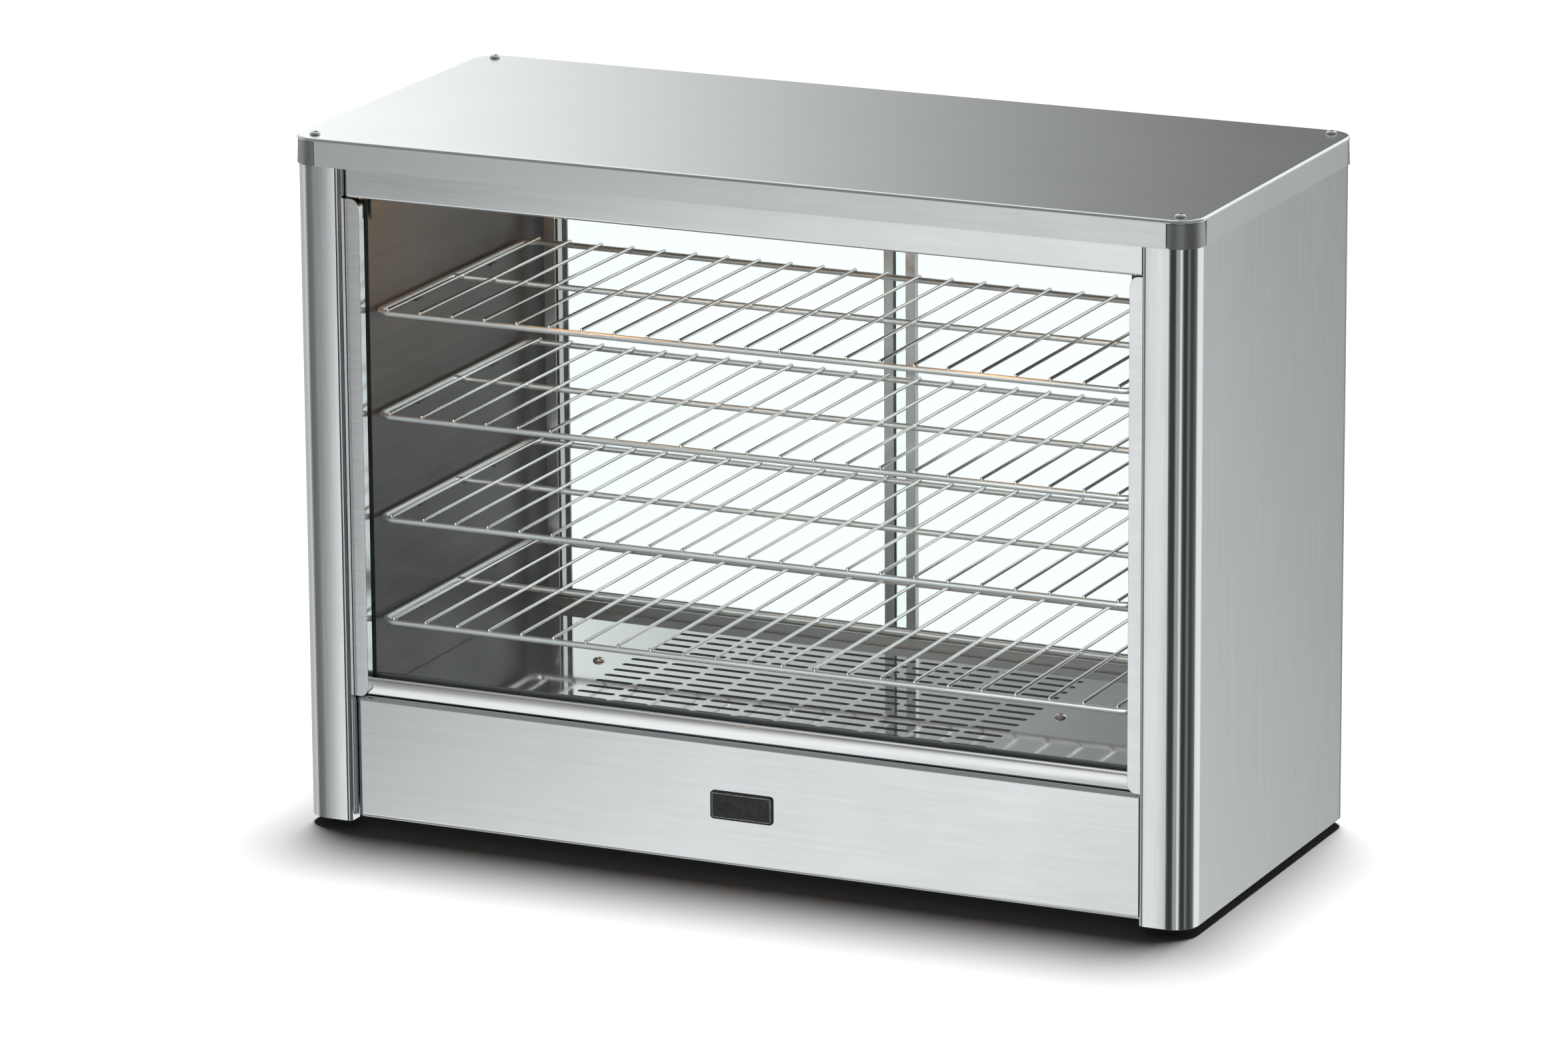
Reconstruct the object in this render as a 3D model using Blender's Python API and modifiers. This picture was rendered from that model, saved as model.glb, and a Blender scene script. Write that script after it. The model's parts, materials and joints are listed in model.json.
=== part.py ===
"""Heated countertop display case: a sheet-steel cabinet with a fixed front window, wire
shelves, a slotted deck over a heating element, and two sliding glass doors at the back.

Metres, +Z up, +X to the right as seen from the front, front face towards -Y.
The origin is on the table, under the middle of the case.
"""

import math

import bmesh
import bpy
from mathutils import Matrix, Vector

# Driving dimensions.
WIDTH = 0.750
DEPTH = 0.335
BODY_HEIGHT = 0.5455
FOOT_HEIGHT = 0.008
STEEL = 0.0012
LINER = 0.0010
GAP = 0.0003
CORNER_RADIUS = 0.0211

# Lid.
LID_FLANGE = 0.022
LID_BEND = 0.0025
LID_SCREW_PLACE = (0.358, 0.154)
LID_SCREW_HEAD = 0.0043
LID_SCREW_SHANK = 0.0019
CAP_REACH = 0.023

# Casing and front.
TAB_INNER = (0.346, 0.140)
STILE_INNER_X = 0.332
STILE_RETURN = 0.014
STILE_EDGE_RADIUS = 0.004
REAR_STILE_INNER_X = 0.300
REAR_STILE_RETURN = 0.0034
HEADER_RECESS = 0.008
HEADER_BOTTOM = 0.4986
HEADER_DEPTH = 0.0055
APRON_RECESS = 0.011
APRON_TOP = 0.100
APRON_DEPTH = 0.014
APRON_BOTTOM = 0.0006
SILL_RECESS = 0.0137
SILL_BOTTOM = 0.1008
SILL_TOP = 0.115
GLASS = 0.004
GLASS_RECESS = 0.0167
GLASS_HALF_WIDTH = 0.3345
GLASS_BOTTOM = 0.1045
GLASS_TOP = 0.505
SEAL_BAR = (0.0033, 0.1175)
SEAL_LEGS = (0.3185, 0.3315)
SEAL_LEG_DEPTH = 0.0006
SEAL_TOP = 0.5010
STRIP_INNER_X = 0.3195
STRIP_CORNER = 0.0075
STRIP_BOTTOM = 0.1005
BADGE_SIZE = (0.0525, 0.0225)
BADGE_CENTRE_Z = 0.049
BADGE_THICKNESS = 0.0012

# Inside.
WALL_X = 0.320
WALL_BOTTOM = 0.1003
DECK_TOP = 0.1013
DECK_DEPTH_FRONT = 0.1407
DECK_DEPTH_REAR = 0.131
DECK_FLANGE = 0.012
SLOT_COLUMNS = 10
SLOT_ROWS = 13
SLOT_SIZE = (0.0323, 0.0058)
SLOT_PITCH = (0.03575, 0.01606)
SLOT_FIELD_Y = 0.0024
DECK_SCREW_PLACE = (0.198, 0.003)
DECK_SCREW_HEAD = 0.0048
DECK_SCREW_SHANK = 0.0021
SHELF_LEVELS = 4
SHELF_FIRST = 0.158
SHELF_PITCH = 0.0825
SHELF_HALF_LENGTH = 0.316
SHELF_FRONT = -0.141
SHELF_REAR = 0.122
SHELF_CORNER = 0.012
FRAME_WIRE = 0.0025
CROSS_WIRE = 0.00135
CROSS_WIRES = 23
CROSS_PITCH = 0.0277
LUG_SIZE = (0.0095, 0.011, 0.0012)
LUG_PLACES = (-0.074, 0.055)
CEILING = 0.5085
TROUGH_REAR = -0.108
TROUGH_TOP = 0.534
TROUGH_END_X = 0.3165
TROUGH_END_BOTTOM = 0.480
LAMP_X = 0.165
LAMP_HEIGHT = 0.520
LAMP_LENGTH = 0.095
LAMP_RADIUS = 0.011
HOLDER_RADIUS = 0.0125
HOLDER_LENGTH = 0.032

# Base and heater.
BASE_LEVEL = 0.0022
FOOT_PLACE = (0.318, 0.112)
FOOT_RADIUS = 0.0135
ELEMENT_HEIGHT = 0.052
ELEMENT_RADIUS = 0.0040
ELEMENT_REACH = (0.225, 0.085)
ELEMENT_TERMINALS = (-0.030, 0.010, 0.118)
BRACKET_X = 0.150
BRACKET_FOOT = 0.015
BRACKET_HALF_DEPTH = 0.100
BLOCK_LOW = (-0.150, 0.085)
BLOCK_SIZE = (0.045, 0.020, 0.018)

# Back.
TRACK_HALF_LENGTH = 0.309
TRACK_FRONT = 0.133
TRACK_REAR = 0.1625
TRACK_LIP = 0.0015
TRACK_BASE = 0.0992
TRACK_WEB = 0.0015
TRACK_TIPS = (0.109, 0.4865)
DOOR_HALF_SPAN = 0.3085
DOOR_OVERLAP = 0.033
DOOR_EDGE = (0.007, 0.008)
DOOR_GLASS_TOP = 0.4985
DOOR_PROFILE_ENDS = (0.1100, 0.4835)
DOOR_PULL_WIDTH = 0.010
DOOR_PULL_REACH = 0.0065
DOOR_PULL_LIP = 0.0015
REAR_HEADER_ENDS = (0.484, 0.536)
REAR_PANEL_RECESS = 0.018
REAR_PANEL_DEPTH = 0.012
REAR_PANEL_ENDS = (0.0039, 0.0985)
KNOB_X = 0.120
SWITCH_X = 0.215
PILOT_X = 0.060
GLAND_X = -0.235
CONTROL_Z = 0.050
KNOB_RADIUS = 0.019
KNOB_HEIGHT = 0.016
THERMOSTAT_SIZE = (0.036, 0.024)
SWITCH_BODY = (0.0190, 0.0280)
SWITCH_FLANGE = (0.0225, 0.0320)
SWITCH_WINDOW = (0.0150, 0.0240)
ROCKER_TILT = math.radians(9)

# Places worked out from them.
LAP = LINER + GAP
CASE_X = WIDTH / 2 - LAP
CASE_Y = DEPTH / 2 - LAP
TOP = FOOT_HEIGHT + BODY_HEIGHT
GLASS_FACE = -CASE_Y + GLASS_RECESS
LINER_FRONT = GLASS_FACE + GLASS + 0.0012
REAR_FACE = CASE_Y - REAR_PANEL_RECESS
SIDES = ((-1, "left"), (1, "right"))
ENDS = ((-1, "front"), (1, "rear"))


def level(height):
    """A height given above the casing's bottom edge, as a height above the table."""
    return FOOT_HEIGHT + height


# Scene, materials and collections.
for leftover in list(bpy.data.objects):
    bpy.data.objects.remove(leftover)

MODEL = bpy.data.collections.new("hot_food_display_case")
CUTTERS = bpy.data.collections.new("cutters")
CUTTERS.hide_render = True
for group in (MODEL, CUTTERS):
    bpy.context.scene.collection.children.link(group)


def material(name, colour, roughness, metallic=0.0, alpha=1.0):
    made = bpy.data.materials.new(name)
    made.use_nodes = True
    shader = made.node_tree.nodes["Principled BSDF"]
    shader.inputs["Base Color"].default_value = (*colour, 1)
    shader.inputs["Roughness"].default_value = roughness
    shader.inputs["Metallic"].default_value = metallic
    shader.inputs["Alpha"].default_value = alpha
    return made


BRUSHED = material("brushed_steel", (0.66, 0.67, 0.68), 0.32, 1)
CAP_STEEL = material("cap_steel", (0.45, 0.46, 0.47), 0.30, 1)
LINER_STEEL = material("liner_steel", (0.50, 0.51, 0.52), 0.28, 1)
DECK_STEEL = material("deck_steel", (0.75, 0.76, 0.77), 0.08, 1)
CHROME = material("chrome", (0.80, 0.81, 0.82), 0.10, 1)
SCREW_STEEL = material("screw_steel", (0.62, 0.62, 0.62), 0.25, 1)
ALUMINIUM = material("aluminium", (0.62, 0.63, 0.64), 0.35, 1)
ELEMENT_STEEL = material("element_steel", (0.20, 0.19, 0.18), 0.50, 1)
CLEAR_GLASS = material("clear_glass", (0.90, 0.95, 0.94), 0.02, 0, 0.25)
LAMP_GLASS = material("lamp_glass", (1.00, 0.72, 0.40), 0.10, 0, 0.60)
CERAMIC = material("ceramic", (0.85, 0.83, 0.78), 0.45)
BLACK_PLASTIC = material("black_plastic", (0.02, 0.02, 0.02), 0.40)
RUBBER = material("rubber", (0.03, 0.03, 0.03), 0.80)
BADGE_BLACK = material("badge_black", (0.02, 0.025, 0.025), 0.35)
PILOT_AMBER = material("pilot_amber", (0.90, 0.35, 0.05), 0.15, 0, 0.80)
BLOCK_NYLON = material("block_nylon", (0.75, 0.74, 0.70), 0.50)


# Shape helpers.
def place(name, mesh, finish=None, at=(0, 0, 0), turn=None):
    """A mesh as a named object of the model, or as a cutter when it has no finish."""
    piece = bpy.data.objects.new(name, mesh)
    piece.matrix_world = Matrix.Translation(at) @ (turn or Matrix()).to_4x4()
    if finish:
        mesh.materials.append(finish)
        MODEL.objects.link(piece)
    else:
        piece.hide_render = True
        piece.display_type = "WIRE"
        CUTTERS.objects.link(piece)
    return piece


def mesh_from(work, name):
    mesh = bpy.data.meshes.new(name)
    bmesh.ops.recalc_face_normals(work, faces=work.faces)
    work.to_mesh(mesh)
    work.free()
    return mesh


def boxes_mesh(name, spans):
    """One mesh of separate boxes, each given by its lowest and highest corner."""
    work = bmesh.new()
    for low, high in spans:
        low, high = Vector(low), Vector(high)
        size = Matrix.Diagonal((high - low).to_4d())
        size[3][3] = 1
        bmesh.ops.create_cube(work, size=1, matrix=Matrix.Translation((low + high) / 2) @ size)
    return mesh_from(work, name)


def box(name, low, high, finish=None, round_edges=0.0, segments=2):
    piece = place(name, boxes_mesh(name, [(low, high)]), finish)
    if round_edges:
        bevel(piece, round_edges, segments)
    return piece


def cylinder_mesh(name, radius, low, high, axis="Z", at=(0, 0), sides=16):
    """A closed cylinder from low to high along an axis; at is its place on the other two axes."""
    work = bmesh.new()
    bmesh.ops.create_cone(work, cap_ends=True, segments=sides, radius1=radius, radius2=radius,
                          depth=high - low)
    middle = (low + high) / 2
    turn, where = {
        "Z": (Matrix(), (at[0], at[1], middle)),
        "Y": (Matrix.Rotation(-math.pi / 2, 4, "X"), (at[0], middle, at[1])),
        "X": (Matrix.Rotation(math.pi / 2, 4, "Y"), (middle, at[0], at[1])),
    }[axis]
    work.transform(Matrix.Translation(where) @ turn)
    return mesh_from(work, name)


def bevel(piece, width, segments=2, angle=math.radians(30)):
    rounded = piece.modifiers.new("Bevel", "BEVEL")
    rounded.width = width
    rounded.segments = segments
    rounded.limit_method = "ANGLE"
    rounded.angle_limit = angle
    rounded.use_clamp_overlap = True


def solidify(piece, thickness, offset=-1):
    skin = piece.modifiers.new("Solidify", "SOLIDIFY")
    skin.thickness = thickness
    skin.offset = offset
    skin.use_even_offset = True
    skin.use_quality_normals = True


def boolean(piece, other, operation="DIFFERENCE"):
    cut = piece.modifiers.new(operation.title(), "BOOLEAN")
    cut.operation = operation
    cut.object = other
    cut.solver = "EXACT"
    return piece


def smooth(piece, angle=35):
    piece.data.shade_smooth()
    piece.data.set_sharp_from_angle(angle=math.radians(angle))
    return piece


def fillet(corner, before, after, radius, steps=4):
    """Points of an arc of the radius that rounds off a corner of a flat path."""
    corner, before, after = Vector(corner), Vector(before), Vector(after)
    start = (before - corner).normalized()
    end = (after - corner).normalized()
    half = start.angle(end) / 2
    centre = corner + (start + end).normalized() * (radius / math.sin(half))
    reach = radius / math.tan(half)
    first = corner + start * reach - centre
    last = corner + end * reach - centre
    sweep = first.angle(last)
    points = []
    for step in range(steps + 1):
        share = step / steps
        points.append(centre + (first * math.sin((1 - share) * sweep) + last * math.sin(share * sweep))
                      / math.sin(sweep))
    return points


def rounded_path(corners, closed=False):
    """A flat path through corners given as (u, v) or (u, v, radius) or (u, v, radius, steps)."""
    path = []
    count = len(corners)
    for index, corner in enumerate(corners):
        here = corner[:2]
        at_end = not closed and index in (0, count - 1)
        if len(corner) == 2 or at_end:
            path.append(Vector(here))
            continue
        before = corners[index - 1][:2]
        after = corners[(index + 1) % count][:2]
        steps = corner[3] if len(corner) > 3 else 3
        path += fillet(here, before, after, corner[2], steps)
    return path


# How the two directions of a flat path, and the direction it is pulled along, lie in the case.
PLANES = {
    "XY": lambda u, v, w: (u, v, w),
    "XZ": lambda u, v, w: (u, w, v),
    "YZ": lambda u, v, w: (w, u, v),
}


def bent_sheet(name, path, plane, low, high, thickness, finish, offset=-1):
    """Sheet metal: an open path pulled from low to high, with the thickness on one side of it."""
    work = bmesh.new()
    to_world = PLANES[plane]
    ends = [[work.verts.new(to_world(u, v, w)) for u, v in path] for w in (low, high)]
    for index in range(len(path) - 1):
        work.faces.new((ends[0][index], ends[0][index + 1], ends[1][index + 1], ends[1][index]))
    mesh = bpy.data.meshes.new(name)
    work.to_mesh(mesh)
    work.free()
    piece = place(name, mesh, finish)
    solidify(piece, thickness, offset)
    return piece


def prism(name, outline, plane, low, high, finish=None):
    """A solid of constant section: a flat outline with filled caps, pulled from low to high."""
    flat = bpy.data.curves.new(name, "CURVE")
    flat.dimensions = "2D"
    flat.fill_mode = "BOTH"
    flat.extrude = (high - low) / 2
    spline = flat.splines.new("POLY")
    spline.points.add(len(outline) - 1)
    for point, (u, v) in zip(spline.points, outline):
        point.co = (u, v, 0, 1)
    spline.use_cyclic_u = True
    middle = (low + high) / 2
    turn = {
        "XY": Matrix(),
        "XZ": Matrix.Rotation(math.pi / 2, 4, "X"),
        "YZ": Matrix(((0, 0, 1, 0), (1, 0, 0, 0), (0, 1, 0, 0), (0, 0, 0, 1))),
    }[plane]
    shift = PLANES[plane](0, 0, middle)
    return curve_to_mesh(name, flat, finish, shift, turn)


def curve_to_mesh(name, curve, finish=None, at=(0, 0, 0), turn=None):
    """The closed mesh of a curve, with its loose caps welded, as an object."""
    source = bpy.data.objects.new(name + "_curve", curve)
    bpy.context.scene.collection.objects.link(source)
    graph = bpy.context.evaluated_depsgraph_get()
    mesh = bpy.data.meshes.new_from_object(source.evaluated_get(graph))
    bpy.data.objects.remove(source)
    work = bmesh.new()
    work.from_mesh(mesh)
    bmesh.ops.remove_doubles(work, verts=work.verts, dist=1e-6)
    bpy.data.meshes.remove(mesh)
    return place(name, mesh_from(work, name), finish, at, turn)


def wire(name, points, radius, finish=None, closed=False, resolution=1):
    """A round wire or tube through points; resolution 1 gives six sides."""
    line = bpy.data.curves.new(name, "CURVE")
    line.dimensions = "3D"
    line.bevel_depth = radius
    line.bevel_resolution = resolution
    line.use_fill_caps = not closed
    spline = line.splines.new("POLY")
    spline.points.add(len(points) - 1)
    for point, place_at in zip(spline.points, points):
        point.co = (*place_at, 1)
    spline.use_cyclic_u = closed
    return curve_to_mesh(name, line, finish)


def turned(name, profile, finish, at, axis="Z", steps=16):
    """A turned piece: a profile of (radius, height) points, run down its outer side."""
    work = bmesh.new()
    points = [work.verts.new((radius, 0, height)) for radius, height in profile]
    for first, second in zip(points, points[1:]):
        work.edges.new((first, second))
    mesh = bpy.data.meshes.new(name)
    work.to_mesh(mesh)
    work.free()
    turn = {
        "Z": Matrix(),
        "Y": Matrix.Rotation(-math.pi / 2, 4, "X"),
        "X": Matrix.Rotation(math.pi / 2, 4, "Y"),
        "-X": Matrix.Rotation(-math.pi / 2, 4, "Y"),
    }[axis]
    piece = place(name, mesh, finish, at, turn)
    spin = piece.modifiers.new("Screw", "SCREW")
    spin.steps = spin.render_steps = steps
    spin.use_merge_vertices = True
    spin.merge_threshold = 1e-6
    return piece


def pan(name, low, high, facing, radius, thickness, finish):
    """A shallow pressed panel: a box with its back open, its front edges rounded, made into sheet."""
    mesh = boxes_mesh(name, [(low, high)])
    work = bmesh.new()
    work.from_mesh(mesh)
    back = [face for face in work.faces if face.normal.y * facing < -0.5]
    bmesh.ops.delete(work, geom=back, context="FACES")
    front = [edge for edge in work.edges if len(edge.link_faces) == 2]
    bmesh.ops.bevel(work, geom=front, offset=radius, segments=3, affect="EDGES", profile=0.5)
    work.to_mesh(mesh)
    work.free()
    piece = place(name, mesh, finish)
    solidify(piece, thickness)
    return piece


# Lid.
def make_lid():
    bottom, top = level(BODY_HEIGHT - LID_FLANGE), TOP
    half_x, half_y = WIDTH / 2, DEPTH / 2
    corners = [(-half_x, -half_y), (half_x, -half_y), (half_x, half_y), (-half_x, half_y)]
    outline = rounded_path([(x, y, CORNER_RADIUS, 6) for x, y in corners], closed=True)
    work = bmesh.new()
    rim = [work.verts.new((x, y, bottom)) for x, y in outline]
    face = work.faces.new(rim)
    raised = bmesh.ops.extrude_face_region(work, geom=[face])["geom"]
    lifted = [item for item in raised if isinstance(item, bmesh.types.BMVert)]
    bmesh.ops.translate(work, verts=lifted, vec=(0, 0, top - bottom))
    bmesh.ops.recalc_face_normals(work, faces=work.faces)
    floor = [f for f in work.faces if f.normal.z < -0.5]
    bmesh.ops.delete(work, geom=floor, context="FACES")
    crown = [e for e in work.edges if all(v.co.z > top - 1e-6 for v in e.verts)]
    bmesh.ops.bevel(work, geom=crown, offset=LID_BEND, segments=4, affect="EDGES", profile=0.5)
    mesh = bpy.data.meshes.new("lid_top")
    work.to_mesh(mesh)
    work.free()
    lid = place("lid_top", mesh, BRUSHED)
    solidify(lid, LINER)
    notch_top = top - LID_BEND - GAP
    reach_x, reach_y = half_x - CAP_REACH, half_y - CAP_REACH
    notches = []
    for x in (-1, 1):
        for y in (-1, 1):
            inner = (x * reach_x, y * reach_y, bottom - 0.01)
            outer = (x * (half_x + 0.01), y * (half_y + 0.01), notch_top)
            notches.append(([min(p) for p in zip(inner, outer)], [max(p) for p in zip(inner, outer)]))
    boolean(lid, place("lid_notches", boxes_mesh("lid_notches", notches)))
    for x, side in SIDES:
        boolean(lid, screw_holes(f"lid_holes_{side}", x, top))
    smooth(lid)


def make_corner_caps():
    bottom = level(BODY_HEIGHT - LID_FLANGE)
    top = TOP - LID_BEND - 2 * GAP
    half_x, half_y = WIDTH / 2, DEPTH / 2
    wing = CAP_REACH - GAP
    for x, side in SIDES:
        for y, end in ENDS:
            path = rounded_path([
                (x * (half_x - wing), y * half_y),
                (x * half_x, y * half_y, CORNER_RADIUS, 8),
                (x * half_x, y * (half_y - wing)),
            ])
            cap = bent_sheet(f"corner_cap_{end}_{side}", path, "XY", bottom, top, LINER, CAP_STEEL,
                             offset=x * y)
            smooth(cap, 60)


def screw(name, spot, head, shank, length):
    """A pan head screw that stands on a spot; head and shank are radii."""
    rise = 0.55 * head
    profile = [(0, rise), (0.55 * head, 0.9 * rise), (0.9 * head, 0.5 * rise), (head, 0), (shank, 0),
               (shank, -length), (0, -length)]
    smooth(turned(name, profile, SCREW_STEEL, spot, steps=12))


def make_lid_screws():
    """Screws through the lid into the casing's tabs."""
    for x, side in SIDES:
        for y, end in ENDS:
            spot = (x * LID_SCREW_PLACE[0], y * LID_SCREW_PLACE[1], TOP + GAP)
            screw(f"lid_screw_{end}_{side}", spot, LID_SCREW_HEAD, LID_SCREW_SHANK, 0.012)


# Casing.
def make_side_casings():
    """Each side is one bent sheet, from the front stile's return round to the rear stile."""
    tab_top = TOP - LID_BEND - GAP
    front = -CASE_Y
    for x, side in SIDES:
        path = rounded_path([
            (x * STILE_INNER_X, front + STILE_RETURN),
            (x * STILE_INNER_X, front, STILE_EDGE_RADIUS, 3),
            (x * CASE_X, front, CORNER_RADIUS - LAP, 8),
            (x * CASE_X, CASE_Y, CORNER_RADIUS - LAP, 8),
            (x * REAR_STILE_INNER_X, CASE_Y, 0.0020, 2),
            (x * REAR_STILE_INNER_X, CASE_Y - REAR_STILE_RETURN),
        ])
        casing = bent_sheet(f"side_casing_{side}", path, "XY", level(0), tab_top, STEEL, BRUSHED, offset=-x)
        middle = STEEL / 2
        for y, end in ENDS:
            corners = [
                (x * TAB_INNER[0], y * TAB_INNER[1]),
                (x * (CASE_X - middle), y * TAB_INNER[1]),
                (x * (CASE_X - middle), y * (CASE_Y - middle), CORNER_RADIUS - LAP - middle, 4),
                (x * TAB_INNER[0], y * (CASE_Y - middle)),
            ]
            tab = prism(f"tab_{end}_{side}", rounded_path(corners, closed=True), "XY", tab_top - 0.0015,
                        tab_top - GAP)
            boolean(casing, tab, "UNION")
        boolean(casing, screw_holes(f"tab_holes_{side}", x, tab_top))
        smooth(casing)


def screw_holes(name, x, height):
    """A cutter for one side's front and rear lid screw holes."""
    work = bmesh.new()
    radius = LID_SCREW_SHANK + 0.0005
    for y in (-1, 1):
        spot = Matrix.Translation((x * LID_SCREW_PLACE[0], y * LID_SCREW_PLACE[1], height))
        bmesh.ops.create_cone(work, cap_ends=True, segments=8, radius1=radius, radius2=radius, depth=0.01,
                              matrix=spot)
    return place(name, mesh_from(work, name))


def make_front_panels():
    half = STILE_INNER_X - GAP
    top = level(BODY_HEIGHT) - LINER - 0.004
    front = -CASE_Y + HEADER_RECESS
    header = pan("header_panel", (-half, front, level(HEADER_BOTTOM)), (half, front + HEADER_DEPTH, top), -1,
                 0.0025, STEEL, BRUSHED)
    front = -CASE_Y + APRON_RECESS
    apron = pan("front_apron", (-half, front, level(APRON_BOTTOM)),
                (half, front + APRON_DEPTH, level(APRON_TOP)), -1, 0.004, STEEL, BRUSHED)
    for panel in (header, apron):
        smooth(panel)
    width, height = BADGE_SIZE
    middle = level(BADGE_CENTRE_Z)
    corners = [(-width / 2, middle - height / 2), (width / 2, middle - height / 2),
               (width / 2, middle + height / 2), (-width / 2, middle + height / 2)]
    outline = rounded_path([(*corner, 0.0028, 4) for corner in corners], closed=True)
    prism("badge_plate", outline, "XZ", front - GAP - BADGE_THICKNESS, front - GAP, BADGE_BLACK)


def make_front_glazing():
    """The fixed window, the strips at its sides, the rail that it stands in and the seal behind it."""
    face = GLASS_FACE
    box("front_glass", (-GLASS_HALF_WIDTH, face, level(GLASS_BOTTOM)),
        (GLASS_HALF_WIDTH, face + GLASS, level(GLASS_TOP)), CLEAR_GLASS)
    strip_bottom, strip_top = level(STRIP_BOTTOM), level(HEADER_BOTTOM) - GAP
    strip_front = -CASE_Y + HEADER_RECESS + GAP
    for x, side in SIDES:
        corners = [
            (x * STRIP_INNER_X, strip_bottom, STRIP_CORNER, 5),
            (x * (STILE_INNER_X - GAP), strip_bottom, 0.0005, 1),
            (x * (STILE_INNER_X - GAP), strip_top, 0.0005, 1),
            (x * STRIP_INNER_X, strip_top, STRIP_CORNER, 5),
        ]
        strip = prism(f"glass_strip_{side}", rounded_path(corners, closed=True), "XZ", strip_front,
                      face - GAP, BRUSHED)
        bevel(strip, 0.0010, 2, math.radians(60))
        smooth(strip, 40)
    back = face - GAP
    nose = -CASE_Y + SILL_RECESS
    low, high = level(SILL_BOTTOM), level(SILL_TOP)
    rest = low + 0.0030
    section = rounded_path([
        (back, high),
        (nose + 0.0012, high),
        (nose + 0.0012, high - 0.0018),
        (nose, high - 0.0024),
        (nose - 0.0006, (low + high) / 2),
        (nose, low + 0.0015),
        (nose + 0.0010, low),
        (-DECK_DEPTH_FRONT - GAP, low),
        (-DECK_DEPTH_FRONT - GAP, low + 0.0012),
        (face + GLASS, rest),
        (back, rest),
    ], closed=True)
    half = STRIP_INNER_X - GAP
    smooth(prism("glass_sill_rail", section, "YZ", -half, half, BRUSHED))
    make_glass_seal(half, rest + GAP, face + GLASS + GAP)


def make_glass_seal(half, low, front):
    """A thick bar under the window's inner face, and a flat leg up each of the window's sides."""
    depth, bar_top = SEAL_BAR
    inner, outer = SEAL_LEGS
    high = level(SEAL_TOP)
    outline = [(-outer, low), (outer, low), (outer, high), (inner, high), (inner, low + SEAL_LEG_DEPTH),
               (-inner, low + SEAL_LEG_DEPTH), (-inner, high), (-outer, high)]
    seal = prism("glass_seal", outline, "XZ", front, front + SEAL_LEG_DEPTH, RUBBER)
    bar = box("seal_bar", (-half, front + SEAL_LEG_DEPTH / 2, low), (half, front + depth, level(bar_top)),
              None, 0.0006)
    boolean(seal, bar, "UNION")


# Cabinet liner.
def shelf_heights():
    return [SHELF_FIRST + index * SHELF_PITCH for index in range(SHELF_LEVELS)]


def make_inner_walls():
    """Each wall is a flat sheet with two lugs under each shelf's side wire."""
    reach, length, thick = LUG_SIZE
    rear = CASE_Y - STEEL - GAP
    for x, side in SIDES:
        path = [(x * WALL_X, level(WALL_BOTTOM)), (x * WALL_X, level(CEILING + LINER))]
        wall = bent_sheet(f"inner_wall_{side}", path, "XZ", LINER_FRONT, rear, LINER, LINER_STEEL, offset=-x)
        low_x, high_x = sorted((x * (WALL_X - reach), x * (WALL_X + LINER / 2)))
        lugs = []
        for height in shelf_heights():
            top = level(height) - FRAME_WIRE - GAP
            for y in LUG_PLACES:
                lugs.append(((low_x, y - length / 2, top - thick), (high_x, y + length / 2, top)))
        boolean(wall, place(f"lugs_{side}", boxes_mesh(f"lugs_{side}", lugs)), "UNION")


def make_deck():
    """The warm deck: a folded plate with a field of slots and two fixing screws."""
    half = WALL_X - LINER / 2
    path = rounded_path([
        (-DECK_DEPTH_FRONT, level(DECK_TOP - DECK_FLANGE)),
        (-DECK_DEPTH_FRONT, level(DECK_TOP), 0.0015, 2),
        (DECK_DEPTH_REAR, level(DECK_TOP), 0.0015, 2),
        (DECK_DEPTH_REAR, level(DECK_TOP - DECK_FLANGE)),
    ])
    deck = bent_sheet("floor_deck", path, "YZ", -half, half, LINER, DECK_STEEL, offset=1)
    length, width = SLOT_SIZE
    slots = []
    for column in range(SLOT_COLUMNS):
        for row in range(SLOT_ROWS):
            x = (column - (SLOT_COLUMNS - 1) / 2) * SLOT_PITCH[0]
            y = (row - (SLOT_ROWS - 1) / 2) * SLOT_PITCH[1] + SLOT_FIELD_Y
            slots.append(((x - length / 2, y - width / 2, level(DECK_TOP - 0.004)),
                          (x + length / 2, y + width / 2, level(DECK_TOP + 0.004))))
    boolean(deck, place("deck_slots", boxes_mesh("deck_slots", slots)))
    holes = bmesh.new()
    radius = DECK_SCREW_SHANK + 0.0005
    for x, side in SIDES:
        spot = Vector((x * DECK_SCREW_PLACE[0], DECK_SCREW_PLACE[1], level(DECK_TOP)))
        bmesh.ops.create_cone(holes, cap_ends=True, segments=8, radius1=radius, radius2=radius, depth=0.01,
                              matrix=Matrix.Translation(spot))
        screw(f"deck_screw_{side}", spot + Vector((0, 0, GAP)), DECK_SCREW_HEAD, DECK_SCREW_SHANK, 0.010)
    boolean(deck, place("deck_screw_holes", mesh_from(holes, "deck_screw_holes")))
    smooth(deck)


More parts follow.
